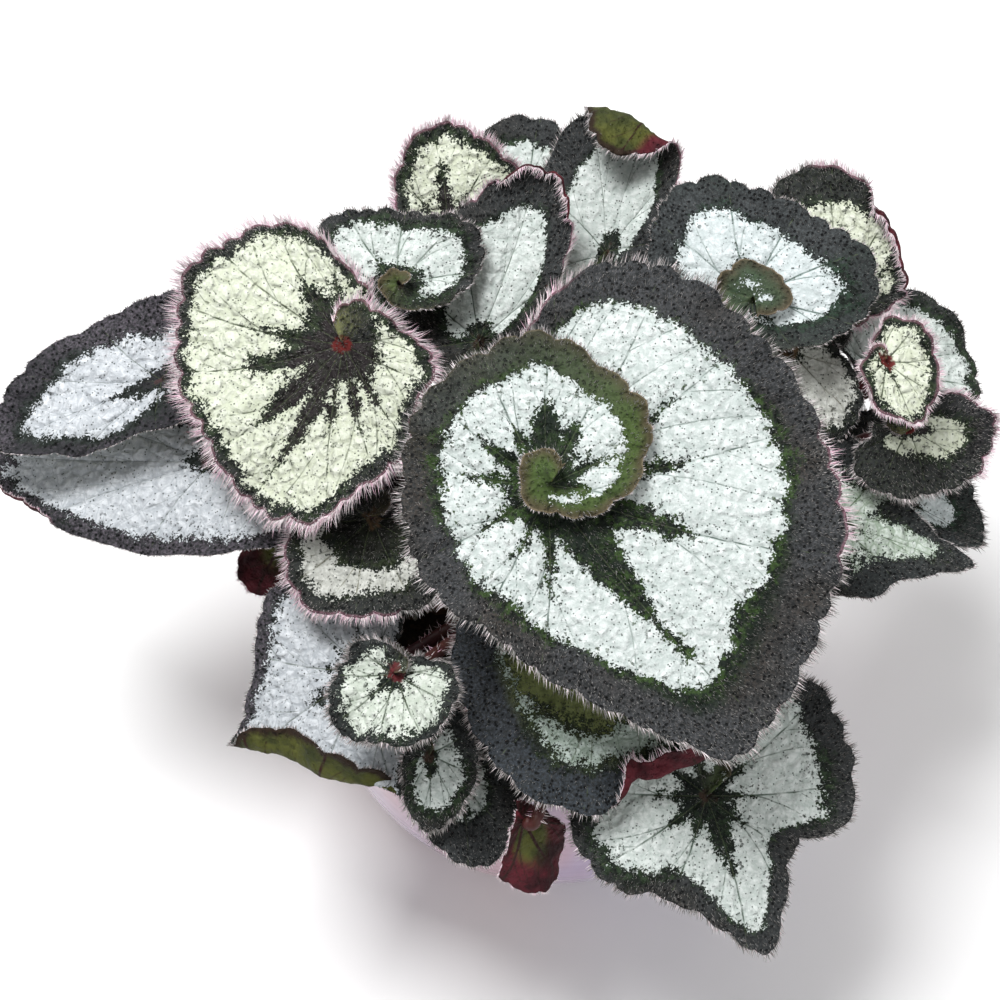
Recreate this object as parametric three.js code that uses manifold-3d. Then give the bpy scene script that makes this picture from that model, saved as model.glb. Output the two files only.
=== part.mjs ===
// A rex begonia with snail-shell leaves, growing in a round-bellied glazed pot.
// Millimetres, +Z up. The origin is the centre of the pot's base, and -Y faces the viewer.
import * as THREE from "three";
import { mergeVertices } from "three/addons/utils/BufferGeometryUtils.js";
import Module from "manifold-3d";

const wasm = await Module();
wasm.setup();

// ---- Driving dimensions ----

const GAP = 0.3; // between pieces that touch
const ROUND_SIDES = 24; // facets round the pot and the soil

const POT_BELLY_RADIUS = 83;
const POT_BELLY_HEIGHT = 66;
const POT_NECK_RADIUS = 60; // the radius that the upper half would close in to
const POT_UPPER_HEIGHT = 70; // half height of the ellipse that the upper half follows
const POT_HEIGHT = 128;
const POT_WALL = 6;
const POT_FLOOR = 8;
const POT_LIP_RADIUS = 3.4;

const SOIL_HEIGHT = 112;
const SOIL_MOUND = 4; // how much higher the soil stands in the middle
const SOIL_CLODS = 0.9; // height of the crumbs raised from its surface
const CLOD_WAVES = { across: 0.31, along: 0.37, slant: 0.11 }; // of the crumbs, in radians for each mm

const RHIZOME_RADIUS = 9.5;
const RHIZOME_SIDES = 6; // facets round it
const RHIZOME_WAIST = 8; // radius between two knuckles
const RHIZOME_SUNK = 3; // its axis lies this far under the soil's top
const RHIZOME_ARM = 44;
const KNUCKLE_STEP = 9; // also the spacing of the stalks in a row
const ARM_AZIMUTHS = { right: 0, rear: 90, left: 180, front: 270 };

const STALK_FOOT_RADIUS = 2.5;
const STALK_TOP_RADIUS = 1.8;
const STALK_SUNK = 6; // depth of the foot in its socket
const SOCKET_GAP = 0.4; // between a foot and its socket, so that the flats clear by about GAP
const STALK_ROW = 4.4; // each row of stalks stands this far from the arm's axis
const STALK_SIDES = 5; // facets round a stalk
const STALK_STEPS = 5; // rings along a stalk
const STALK_RISE = 0.4; // share of its height over which a stalk leaves the soil upright
const STALK_ARRIVAL = 0.3; // share of its height over which it meets its blade square
const SOCKET_STEPS = 2; // a socket follows this many steps of its stalk

const BLADE_THICKNESS = 0.8;
const BLADE_HOLE = 2.6; // the sheet starts this far from the stalk, on a small boss
const BOSS_RADIUS = 3.2;
const BOSS_SIDES = 6; // facets round the boss
const BOSS_DEPTH = 0.6; // how far the boss reaches below the sheet
const CREASE_RADIUS = 0.07; // of a turned-up part, as a share of the blade's reach
const FOLD_ROUNDING = 0.15; // half width of the fold at the midrib, as a share of the blade's reach
const SCALLOP = 0.016; // depth of a scallop on the margin, as a share of its distance from the stalk
const RINGS = [0, 0.62, 1]; // shares of the way from the boss to the margin
const FINE_RINGS = [0, 0.34, 0.68, 1]; // on the large leaves
const RING_SKIPS = [4, 2, 1, 1]; // each ring takes one in so many of the margin's columns
const OUTLINE_LIFT = 0.01; // for each radian, keeps an outline's turns apart while it is measured

// ---- Leaf outlines ----
// Each pair is the turn from the tip, in degrees, and the margin's distance from the stalk as a share of the
// tip's. Turns past 180 degrees lie over the blade's own first lobe, so the margin draws a snail shell.

const CROWN_OUTLINE = [
  [-155, 0.47], [-128, 0.75], [-98, 0.81], [-65, 0.88], [-34, 0.94], [-9, 0.99], [0, 1],
  [6, 0.88], [17, 0.73], [31, 0.6], [52, 0.5], [76, 0.475], [102, 0.447], [130, 0.445],
  [171, 0.475], [212, 0.465], [263, 0.38], [301, 0.28], [331, 0.19], [373, 0.1], [459, 0.1],
  [548, 0.12], [613, 0.07],
];
const SNAIL_OUTLINE = [
  [-190, 0.3], [-159, 0.45], [-147, 0.65], [-126, 0.86], [-98, 0.97], [-63, 0.95], [-22, 0.98],
  [-6, 1.03], [0, 1], [10, 0.97], [31, 0.8], [46, 0.72], [64, 0.58], [90, 0.54], [120, 0.35],
  [182, 0.25], [222, 0.14],
];
const COIL_OUTLINE = [
  [-150, 0.35], [-110, 0.55], [-75, 0.68], [-45, 0.9], [-20, 1], [0, 1], [15, 0.88], [50, 0.85],
  [85, 0.95], [105, 0.92], [130, 0.68], [160, 0.45], [204, 0.34], [298, 0.28], [370, 0.3],
  [462, 0.28], [549, 0.18],
];
const HOOK_OUTLINE = [
  ...COIL_OUTLINE.slice(0, 12), [204, 0.3], [298, 0.19], [370, 0.14], [462, 0.13], [549, 0.08],
];
const BROAD_OUTLINE = [
  [-165, 0.35], [-130, 0.8], [-113, 0.98], [-92, 0.96], [-78, 0.93], [-57, 0.87], [-44, 0.64],
  [-34, 0.62], [-18, 0.76], [-6, 0.95], [0, 1], [7, 0.92], [20, 0.75], [34, 0.66], [49, 0.65],
  [62, 0.74], [78, 0.82], [106, 0.82], [128, 0.7], [150, 0.5], [200, 0.32], [250, 0.2],
];
const FOLDED_OUTLINE = [
  [-165, 0.35], [-130, 0.72], [-100, 0.82], [-65, 0.84], [-45, 0.74], [-24, 0.8], [-8, 0.95], [0, 1],
  [14, 1.02], [32, 1.02], [52, 1.02], [70, 0.98], [88, 0.72], [110, 0.48], [150, 0.36], [200, 0.28],
];
const ROUND_OUTLINE = [
  [-170, 0.4], [-130, 0.8], [-90, 0.95], [-50, 1], [-20, 1.03], [0, 1], [20, 0.97], [50, 0.9],
  [85, 0.85], [120, 0.7], [160, 0.45], [200, 0.3], [240, 0.2],
];
const WINGED_OUTLINE = [
  [-170, 0.4], [-145, 0.7], [-118, 1.02], [-92, 1.3], [-74, 1.4], [-60, 1.3], [-46, 1.14], [-30, 1.06],
  [-14, 1.01], [0, 1], [20, 0.97], [50, 0.9], [85, 0.85], [120, 0.7], [160, 0.45], [200, 0.3],
  [240, 0.2],
];
const SLANTED_OUTLINE = [
  [-190, 0.15], [-140, 0.17], [-100, 0.2], [-72, 0.28], [-52, 0.42], [-36, 0.58], [-24, 0.76], [-10, 0.96],
  [0, 1], [10, 0.97], [31, 0.8], [46, 0.72], [64, 0.58], [90, 0.54], [120, 0.35], [182, 0.25],
  [222, 0.14],
];
const FAN_OUTLINE = [
  [-170, 0.22], [-70, 0.3], [-38, 0.8], [-15, 1], [0, 1.04], [15, 0.98], [36, 0.74], [70, 0.28],
  [170, 0.22],
];

// ---- Leaves ----
// at: top of the stalk. points: compass direction of the tip. droops: how far the tip points below level.
// banks: roll about the tip's direction. hand: 1 where the shell winds anticlockwise seen from above.
// reach: stalk to tip. wide: stretch across the tip. cup, bow and fold: rise of the rim, drop of the tip and
// rise beside the midrib, as shares of the reach. wave: height of the frill, in mm. turnRise: rise of the
// sheet in one turn. turnUp: angle that the blade is turned up past a crease, which lies turnUpAt of the
// reach from the stalk, turnUpTowards degrees round from the tip. sway: bend of the stalk to one side.
// arm and place: where on the rhizome the stalk stands, counted from the middle.

const LEAF_DEFAULTS = {
  outline: SNAIL_OUTLINE, hand: -1, wide: 1, cup: 0.08, bow: 0.14, fold: 0, wave: 2.8, waves: 6,
  turnRise: 4.5, columns: 32, rings: RINGS, turnUp: 0, turnUpAt: 0.4, turnUpTowards: 90,
};
const LEAVES = {
  crown: {
    at: [-5, -20, 226], points: -53, droops: 18, banks: -9, reach: 97, outline: CROWN_OUTLINE,
    wave: 3, waves: 7, columns: 92, rings: FINE_RINGS, turnRise: 7, cup: 0.03, bow: 0.1,
    arm: "front", place: 0,
  },
  left: {
    at: [-68, 40, 210], points: -110, droops: 22, banks: -4, reach: 57, hand: 1, wave: 2.2,
    columns: 64, rings: FINE_RINGS, turnRise: 5, arm: "left", place: 2,
  },
  young_left: {
    at: [-52, 64, 206], points: 128, droops: -12, banks: 2, reach: 32, outline: HOOK_OUTLINE,
    columns: 52, rings: FINE_RINGS, sway: [-20, 6, 0], arm: "left", place: 0,
  },
  right_rear: {
    at: [60, 55, 212], points: 104, droops: -22, banks: -2, reach: 42, outline: COIL_OUTLINE,
    columns: 56, rings: FINE_RINGS, arm: "right", place: 1,
  },
  rear_silver: {
    at: [-26, 54, 189], points: 66, droops: -23, banks: -9, reach: 64, hand: 1, wide: 0.74,
    outline: SLANTED_OUTLINE,
    arm: "rear", place: 1,
  },
  rear_pink: {
    at: [-36, 97, 188], points: 96, droops: -34, banks: 9, reach: 36, hand: 1, wide: 0.9,
    arm: "rear", place: 3,
  },
  rear_dark: {
    at: [-9, 116, 172], points: 89, droops: -20, banks: 0, reach: 35, columns: 24, arm: "rear", place: 5,
  },
  rear_turned: {
    at: [17, 96, 178], points: 74, droops: -14, banks: 0, reach: 66, wide: 0.5, turnUp: 160,
    turnUpAt: 0.58, turnUpTowards: -10, sway: [20, 0, 0], arm: "rear", place: 0,
  },
  rear_peak: {
    at: [95, 75, 185], points: 103, droops: -30, banks: 1, reach: 43, arm: "right", place: 3,
  },
  right_silver: {
    at: [112, 53, 167], points: 9, droops: 14, banks: -21, reach: 33, columns: 24,
    sway: [0, 18, 0], arm: "right", place: 5,
  },
  right_young: {
    at: [103, 38.5, 202], points: -62, droops: 16, banks: -3, reach: 22, wide: 0.8, columns: 24,
    sway: [30, 22, 0], arm: "right", place: 7,
  },
  right_inner: {
    at: [75, 49, 191], points: -45, droops: 19, banks: -6, reach: 31, hand: 1, wide: 0.78,
    arm: "right", place: 0,
  },
  right_hairy: {
    at: [113, 27, 180], points: 6, droops: 16, banks: -32, reach: 33, hand: 1, wide: 0.7,
    sway: [0, 6, 6], arm: "right", place: 2,
  },
  right_low: {
    at: [107, 24, 144.6], points: -17, droops: 17, banks: 0, reach: 42, wide: 0.65, columns: 24,
    sway: [0, 0, 14], arm: "right", place: 6,
  },
  right_front: {
    at: [89, 0, 166], points: -10, droops: 16, banks: -12, reach: 51, outline: BROAD_OUTLINE,
    wide: 0.58, arm: "right", place: 4,
  },
  front_right: {
    at: [46, -84, 140], points: -67, droops: 20, banks: 1, reach: 53, outline: BROAD_OUTLINE,
    columns: 44, cup: 0, wave: 1.6, sway: [0, 0, 22], arm: "front", place: 5,
  },
  front: {
    at: [9, -43, 170], points: -87, droops: 16, banks: -1, reach: 55, outline: WINGED_OUTLINE,
    wide: 0.92, columns: 44, bow: 0.05, arm: "front", place: 3,
  },
  front_left: {
    at: [-62, -45, 149], points: -155, droops: 20, banks: 6, reach: 50, hand: 1, turnUp: 140,
    turnUpAt: 0.64, turnUpTowards: 38, outline: FOLDED_OUTLINE, arm: "left", place: 3,
  },
  young_front: {
    at: [-51, -60, 181], points: -140, droops: 19, banks: 7, reach: 24, fold: 0.4, columns: 28,
    arm: "left", place: 1,
  },
  front_small: {
    at: [-41, -76, 155], points: -88, droops: 30, banks: -1, reach: 24, wide: 0.65, columns: 24,
    arm: "front", place: 2,
  },
  front_dark: {
    at: [-32, -78, 138], points: -78, droops: 26, banks: 6, reach: 28, wide: 0.9,
    sway: [0, 0, 17], arm: "front", place: 4,
  },
  hanging: {
    at: [-12, -92, 142], points: -50, droops: 62, banks: 180, reach: 28, outline: FAN_OUTLINE,
    columns: 24, sway: [0, -16, 30], arm: "front", place: 6,
  },
  left_under: {
    at: [-60, -4, 176], points: -138, droops: 14, banks: 8, reach: 34, turnRise: 7, columns: 28,
    arm: "left", place: 5,
  },
  left_hanging: {
    at: [-86, 4, 155], points: -140, droops: 45, banks: 180, reach: 27, outline: FAN_OUTLINE,
    columns: 24, sway: [0, 0, 20], arm: "left", place: 8,
  },
  far_left_rear: {
    at: [-128, 41, 186], points: 196, droops: 9, banks: 10, reach: 60, hand: 1, wide: 0.5,
    sway: [0, 15, 0], arm: "left", place: 6,
  },
  far_left_front: {
    at: [-113, 22, 167], points: 175, droops: 9, banks: 14, reach: 78, wide: 0.42, arm: "left", place: 7,
  },
  back_left: {
    at: [-58, 90, 150], points: 130, droops: 24, banks: 0, reach: 52, outline: ROUND_OUTLINE,
    hand: 1, wide: 0.72, columns: 28, sway: [0, 0, 18], arm: "left", place: 4,
  },
  back_right: {
    at: [50, 102, 144], points: 62, droops: 26, banks: 0, reach: 52, columns: 28,
    sway: [10, 0, 24], arm: "rear", place: 4,
  },
};

// ---- Materials ----

const glazeMaterial = new THREE.MeshStandardMaterial({ color: "#cfb4bb", roughness: 0.16, metalness: 0 });
const soilMaterial = new THREE.MeshStandardMaterial({ color: "#3a2a20", roughness: 0.95, metalness: 0 });
const rhizomeMaterial = new THREE.MeshStandardMaterial({ color: "#6f4a35", roughness: 0.8, metalness: 0 });
const bladeMaterial = new THREE.MeshStandardMaterial({ color: "#9fb3a4", roughness: 0.5, metalness: 0.1 });
const stalkMaterial = new THREE.MeshStandardMaterial({ color: "#a8484f", roughness: 0.6, metalness: 0 });

// ---- Solids from points, and back ----

function geometryFrom(points, triangles) {
  const geometry = new THREE.BufferGeometry().setFromPoints(points);
  geometry.setIndex(triangles);
  return geometry;
}

function solidFrom(geometry) {
  const bare = geometry.clone();
  bare.deleteAttribute("normal");
  bare.deleteAttribute("uv");
  const merged = mergeVertices(bare, 1e-4);
  return new wasm.Manifold(new wasm.Mesh({
    numProp: 3,
    vertProperties: new Float32Array(merged.attributes.position.array),
    triVerts: new Uint32Array(merged.index.array),
  }));
}

function geometryOf(solid) {
  const mesh = solid.getMesh();
  const geometry = new THREE.BufferGeometry();
  geometry.setAttribute("position", new THREE.BufferAttribute(mesh.vertProperties, 3));
  geometry.setIndex(new THREE.BufferAttribute(mesh.triVerts, 1));
  return geometry;
}

// ---- Pot: a thrown, glazed bowl with a full belly and a rolled lip ----

function potRadius(height) {
  const fromBelly = height - POT_BELLY_HEIGHT;
  if (fromBelly <= 0) return Math.sqrt(POT_BELLY_RADIUS ** 2 - fromBelly ** 2);
  const closing = POT_BELLY_RADIUS - POT_NECK_RADIUS;
  return POT_NECK_RADIUS + closing * Math.sqrt(1 - (fromBelly / POT_UPPER_HEIGHT) ** 2);
}

function potProfile() {
  const profile = [[0, 0], [potRadius(0) - 4, 0], [potRadius(2), 2]];
  for (const height of [14, 32, 50, 66, 88, 110]) profile.push([potRadius(height), height]);
  const lipRadius = potRadius(POT_HEIGHT) + 1;
  const lipHeight = POT_HEIGHT - POT_LIP_RADIUS;
  for (const turn of [-40, 20, 80, 180]) {
    const angle = THREE.MathUtils.degToRad(turn);
    const out = POT_LIP_RADIUS * Math.cos(angle);
    profile.push([lipRadius + out, lipHeight + POT_LIP_RADIUS * Math.sin(angle)]);
  }
  for (const height of [112, 82, 53, 26]) profile.push([potRadius(height) - POT_WALL, height]);
  profile.push([potRadius(POT_FLOOR) - POT_WALL - 3, POT_FLOOR], [0, POT_FLOOR]);
  return profile;
}

function lathed(profile) {
  const points = profile.map(([radius, height]) => new THREE.Vector2(radius, height));
  const geometry = new THREE.LatheGeometry(points, ROUND_SIDES);
  return geometryOf(solidFrom(geometry.rotateX(Math.PI / 2)));
}

// ---- Soil: fills the pot, mounded towards the middle and crumbly on top ----

function soilTop(x, y) {
  const mound = SOIL_MOUND * (1 - (x * x + y * y) / POT_BELLY_RADIUS ** 2);
  const ridges = Math.sin(x * CLOD_WAVES.across + 1);
  const breaks = Math.cos(y * CLOD_WAVES.along - x * CLOD_WAVES.slant);
  return SOIL_HEIGHT + mound + SOIL_CLODS * ridges * breaks;
}

function soilBody() {
  const wall = (height) => potRadius(height) - POT_WALL - GAP - 0.05;
  const profile = [[0, POT_FLOOR + GAP], [wall(POT_FLOOR) - 3, POT_FLOOR + GAP]];
  for (const height of [26, 53, 82]) profile.push([wall(height), height]);
  profile.push([wall(SOIL_HEIGHT) - 1, SOIL_HEIGHT - 2]);
  for (const radius of [64, 45, 25]) profile.push([radius, SOIL_HEIGHT]);
  profile.push([0, SOIL_HEIGHT]);
  const points = profile.map(([radius, height]) => new THREE.Vector2(radius, height));
  const geometry = new THREE.LatheGeometry(points, ROUND_SIDES).rotateX(Math.PI / 2);
  const position = geometry.attributes.position;
  for (let i = 0; i < position.count; i++) {
    if (position.getZ(i) < SOIL_HEIGHT - 0.01) continue;
    position.setZ(i, soilTop(position.getX(i), position.getY(i)));
  }
  return solidFrom(geometry);
}

// ---- Rhizome: four knuckled arms that creep out from the middle, half sunk in the soil ----

function armDirection(arm) {
  return new THREE.Vector3(1, 0, 0).applyAxisAngle(
    new THREE.Vector3(0, 0, 1), THREE.MathUtils.degToRad(ARM_AZIMUTHS[arm]),
  );
}

function rhizomeBody(grown) {
  let body = null;
  for (const arm of Object.keys(ARM_AZIMUTHS)) {
    const profile = [new THREE.Vector2(0, -2)];
    for (let along = 0; along <= RHIZOME_ARM; along += KNUCKLE_STEP / 2) {
      const knuckle = (along / KNUCKLE_STEP) % 1 > 0;
      profile.push(new THREE.Vector2((knuckle ? RHIZOME_RADIUS : RHIZOME_WAIST) + grown, along));
    }
    profile.push(new THREE.Vector2(0, RHIZOME_ARM + 4 + grown));
    const geometry = new THREE.LatheGeometry(profile, RHIZOME_SIDES);
    geometry.rotateZ(-Math.PI / 2);
    geometry.rotateZ(THREE.MathUtils.degToRad(ARM_AZIMUTHS[arm]));
    geometry.translate(0, 0, SOIL_HEIGHT + SOIL_MOUND - RHIZOME_SUNK);
    const solid = solidFrom(geometry);
    body = body ? body.add(solid) : solid;
  }
  return body;
}

// ---- Stalks: tapered stems in two rows along each arm, bent towards their leaves ----

function stalkFoot(arm, place) {
  const along = armDirection(arm);
  const across = new THREE.Vector3(-along.y, along.x, 0);
  const distance = KNUCKLE_STEP * (0.75 + place / 2);
  const side = place % 2 ? STALK_ROW : -STALK_ROW;
  return new THREE.Vector3(0, 0, SOIL_HEIGHT + SOIL_MOUND)
    .addScaledVector(along, distance)
    .addScaledVector(across, side);
}

function stalkCurve(leaf) {
  const { normal } = leafAxes(leaf);
  const foot = stalkFoot(leaf.arm, leaf.place).add(new THREE.Vector3(0, 0, -STALK_SUNK));
  const top = new THREE.Vector3(...leaf.at).addScaledVector(normal, bossBottom(leaf) - GAP);
  const height = top.z - foot.z;
  const sway = new THREE.Vector3(...(leaf.sway || [0, 0, 0]));
  const low = foot.clone().add(new THREE.Vector3(0, 0, height * STALK_RISE)).add(sway);
  const high = top.clone().addScaledVector(normal, -height * STALK_ARRIVAL);
  return new THREE.CubicBezierCurve3(foot, low, high, top);
}

// The first steps of a stalk, or all of them. A grown one is the socket that its foot stands in.
function stalkGeometry(leaf, steps = STALK_STEPS, grown = 0) {
  const curve = stalkCurve(leaf);
  const frames = curve.computeFrenetFrames(STALK_STEPS);
  const downwards = curve.getPoint(0).sub(curve.getPoint(1 / STALK_STEPS)).normalize();
  const points = [];
  const triangles = [];
  for (let step = 0; step <= steps; step++) {
    const share = step / STALK_STEPS;
    const radius = THREE.MathUtils.lerp(STALK_FOOT_RADIUS, STALK_TOP_RADIUS, share) + grown;
    const middle = curve.getPoint(share);
    if (step === 0) middle.addScaledVector(downwards, 2 * grown);
    for (let side = 0; side < STALK_SIDES; side++) {
      const angle = (2 * Math.PI * side) / STALK_SIDES;
      points.push(middle.clone()
        .addScaledVector(frames.normals[step], radius * Math.cos(angle))
        .addScaledVector(frames.binormals[step], radius * Math.sin(angle)));
    }
  }
  const at = (step, side) => step * STALK_SIDES + (side % STALK_SIDES);
  for (let step = 0; step < steps; step++) {
    for (let side = 0; side < STALK_SIDES; side++) {
      triangles.push(at(step, side), at(step, side + 1), at(step + 1, side));
      triangles.push(at(step, side + 1), at(step + 1, side + 1), at(step + 1, side));
    }
  }
  for (let side = 1; side < STALK_SIDES - 1; side++) {
    triangles.push(at(0, 0), at(0, side + 1), at(0, side));
    triangles.push(at(steps, 0), at(steps, side), at(steps, side + 1));
  }
  return geometryFrom(points, triangles);
}

// ---- Blades: a thin sheet that winds round the stalk like a ramp, frilled and scalloped at its margin ----

function leafAxes(leaf) {
  const points = THREE.MathUtils.degToRad(leaf.points);
  const droops = THREE.MathUtils.degToRad(leaf.droops);
  const banks = THREE.MathUtils.degToRad(leaf.banks);
  const tip = new THREE.Vector3(
    Math.cos(points) * Math.cos(droops), Math.sin(points) * Math.cos(droops), -Math.sin(droops),
  );
  const level = new THREE.Vector3(-Math.sin(points), Math.cos(points), 0);
  const upright = new THREE.Vector3().crossVectors(tip, level);
  const normal = upright.multiplyScalar(Math.cos(banks)).addScaledVector(level, Math.sin(banks));
  const side = new THREE.Vector3().crossVectors(normal, tip);
  return { tip, side, normal };
}

// The sheet's height over the leaf's own plane, where the margin at that turn lies `margin` from the stalk.
function sheetHeight(leaf, turn, share, margin, x, y) {
  const { reach } = leaf;
  const ramp = (leaf.turnRise * turn) / (2 * Math.PI);
  const cup = (leaf.cup * (x * x + y * y)) / reach;
  const bow = (leaf.bow * Math.max(0, x) ** 2) / reach;
  const fold = (leaf.fold * y * y) / (Math.abs(y) + FOLD_ROUNDING * reach);
  const frill = leaf.wave * (margin / reach) * share ** 3 * Math.sin(leaf.waves * turn + leaf.waves);
  return ramp + cup - bow + fold + frill;
}

// Turns the part of the blade past the crease upwards, round an arc and then straight on.
function turnedUp(leaf, point) {
  if (!leaf.turnUp) return point;
  const towards = THREE.MathUtils.degToRad(leaf.turnUpTowards);
  const out = new THREE.Vector3(Math.cos(towards), Math.sin(towards), 0);
  const past = point.dot(out) - leaf.turnUpAt * leaf.reach;
  if (past <= 0) return point;
  const radius = CREASE_RADIUS * leaf.reach;
  const angle = Math.min(past / radius, THREE.MathUtils.degToRad(leaf.turnUp));
  const straight = past - radius * angle;
  const height = point.z;
  const across = radius * Math.sin(angle) + straight * Math.cos(angle) - height * Math.sin(angle);
  const up = radius * (1 - Math.cos(angle)) + straight * Math.sin(angle) + height * Math.cos(angle);
  return point.clone().addScaledVector(out, across - past).setZ(up);
}

// The sheet's point at a turn and a share of the way to the margin, in the leaf's own axes.
function sheetPoint(leaf, turn, share, margin) {
  const distance = BLADE_HOLE + (margin - BLADE_HOLE) * share;
  const x = distance * Math.cos(turn);
  const y = leaf.wide * distance * Math.sin(turn);
  const height = sheetHeight(leaf, turn, share, margin, x, y);
  return turnedUp(leaf, new THREE.Vector3(x, leaf.hand * y, height));
}

// Margin points at even steps along the outline, as turn and distance from the stalk.
function marginOf(leaf) {
  const knots = leaf.outline.map(([degrees, share]) => {
    const turn = THREE.MathUtils.degToRad(degrees);
    const distance = share * leaf.reach;
    return new THREE.Vector3(distance * Math.cos(turn), distance * Math.sin(turn), OUTLINE_LIFT * turn);
  });
  const curve = new THREE.CatmullRomCurve3(knots, false, "centripetal");
  return curve.getSpacedPoints(leaf.columns).map((point, column) => {
    const scallop = 1 + SCALLOP * (column % 2 ? 1 : -1);
    return { turn: point.z / OUTLINE_LIFT, margin: Math.hypot(point.x, point.y) * scallop };
  });
}

function bossBottom(leaf) {
  const firstTurn = THREE.MathUtils.degToRad(leaf.outline[0][0]);
  return (leaf.turnRise * firstTurn) / (2 * Math.PI) - BLADE_THICKNESS - BOSS_DEPTH;
}

function bossBody(leaf) {
  const lastTurn = THREE.MathUtils.degToRad(leaf.outline[leaf.outline.length - 1][0]);
  const bottom = bossBottom(leaf);
  const top = (leaf.turnRise * lastTurn) / (2 * Math.PI) + BLADE_THICKNESS;
  const geometry = new THREE.CylinderGeometry(BOSS_RADIUS, BOSS_RADIUS, top - bottom, BOSS_SIDES);
  geometry.rotateX(Math.PI / 2);
  geometry.translate(0, 0, (top + bottom) / 2);
  return solidFrom(geometry);
}

// The two faces are the sheet moved half a thickness each way along its normal, split alike.
function sheetBody(leaf) {
  const margins = marginOf(leaf);
  const faces = [[], []];
  const rings = leaf.rings.map((share, ring) => {
    const columns = [];
    for (let column = 0; column <= leaf.columns; column += RING_SKIPS[ring]) {
      const { turn, margin } = margins[column];
      const step = 0.02;
      const point = sheetPoint(leaf, turn, share, margin);
      const ahead = sheetPoint(leaf, turn + step, share, margin).sub(point);
      const outward = sheetPoint(leaf, turn, share + step, margin).sub(point);
      const normal = outward.cross(ahead).normalize().multiplyScalar(leaf.hand * BLADE_THICKNESS / 2);
      columns.push({ column, index: faces[0].length });
      faces[0].push(point.clone().add(normal));
      faces[1].push(point.clone().sub(normal));
    }
    return columns;
  });
  const count = faces[0].length;
  const triangles = [];
  const addPair = (a, b, c) => triangles.push(a, b, c, count + a, count + c, count + b);
  for (let ring = 0; ring + 1 < rings.length; ring++) {
    const inner = rings[ring];
    const outer = rings[ring + 1];
    let i = 0;
    let o = 0;
    while (i + 1 < inner.length || o + 1 < outer.length) {
      const innerNext = i + 1 < inner.length ? inner[i + 1].column : Infinity;
      const outerNext = o + 1 < outer.length ? outer[o + 1].column : Infinity;
      if (outerNext <= innerNext) {
        addPair(inner[i].index, outer[o].index, outer[o + 1].index);
        o++;
      } else {
        addPair(inner[i].index, outer[o].index, inner[i + 1].index);
        i++;
      }
    }
  }
  const rim = [
    ...rings[rings.length - 1].map(({ index }) => index),
    ...rings.slice(0, -1).reverse().map((ring) => ring[ring.length - 1].index),
    ...rings[0].slice(0, -1).reverse().map(({ index }) => index),
    ...rings.slice(1, -1).map((ring) => ring[0].index),
  ];
  rim.forEach((a, i) => {
    const b = rim[(i + 1) % rim.length];
    triangles.push(a, count + a, count + b, a, count + b, b);
  });
  const order = leaf.hand > 0 ? triangles : triangles.reverse();
  return solidFrom(geometryFrom([...faces[0], ...faces[1]], order));
}

function bladeGeometry(leaf) {
  const geometry = geometryOf(sheetBody(leaf).add(bossBody(leaf)));
  const { tip, side, normal } = leafAxes(leaf);
  return geometry.applyMatrix4(new THREE.Matrix4().makeBasis(tip, side, normal));
}

// ---- The plant in its pot ----

const group = new THREE.Group();

function addMesh(name, geometry, material, at = [0, 0, 0]) {
  const mesh = new THREE.Mesh(geometry, material);
  mesh.name = name;
  mesh.position.set(...at);
  group.add(mesh);
}

let rhizome = rhizomeBody(0);
let soil = soilBody().subtract(rhizomeBody(GAP));
for (const [place, row] of Object.entries(LEAVES)) {
  const leaf = { ...LEAF_DEFAULTS, ...row };
  addMesh(`leaf_${place}_blade`, bladeGeometry(leaf), bladeMaterial, leaf.at);
  addMesh(`leaf_${place}_stalk`, stalkGeometry(leaf), stalkMaterial);
  const socket = solidFrom(stalkGeometry(leaf, SOCKET_STEPS, SOCKET_GAP));
  rhizome = rhizome.subtract(socket);
  soil = soil.subtract(socket);
}
addMesh("rhizome", geometryOf(rhizome), rhizomeMaterial);
addMesh("soil", geometryOf(soil), soilMaterial);
addMesh("pot", lathed(potProfile()), glazeMaterial);

export default group;
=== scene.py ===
# A rex begonia with silver, snail-shell leaves in a round glazed pot.
# Lengths in this script are millimetres until a mesh is made, where MM turns them into metres.
import math

import bpy
import numpy as np
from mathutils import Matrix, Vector


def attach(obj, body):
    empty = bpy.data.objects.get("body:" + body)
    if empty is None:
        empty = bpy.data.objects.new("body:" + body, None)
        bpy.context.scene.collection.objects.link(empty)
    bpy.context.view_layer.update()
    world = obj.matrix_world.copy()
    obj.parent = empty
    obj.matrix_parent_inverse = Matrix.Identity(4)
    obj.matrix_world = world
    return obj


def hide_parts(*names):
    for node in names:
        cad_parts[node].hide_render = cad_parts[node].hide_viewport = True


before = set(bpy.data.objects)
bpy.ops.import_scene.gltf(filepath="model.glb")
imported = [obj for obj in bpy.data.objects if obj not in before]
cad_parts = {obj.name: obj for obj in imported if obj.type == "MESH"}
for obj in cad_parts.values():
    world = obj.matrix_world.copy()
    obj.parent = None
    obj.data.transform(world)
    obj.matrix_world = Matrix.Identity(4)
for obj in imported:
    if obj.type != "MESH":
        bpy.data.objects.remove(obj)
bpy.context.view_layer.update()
MM = 0.001

# ---- The view ----
# A viewer stands in front of the plant and looks steeply down on its crown leaf, as one does at a
# plant on a low table. The long lens keeps the leaves near their true proportions.

VIEW_TARGET = Vector((-19, 0.6, 180)) * MM
VIEW_ELEVATION = math.radians(62)
VIEW_DISTANCE = 750 * MM

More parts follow.
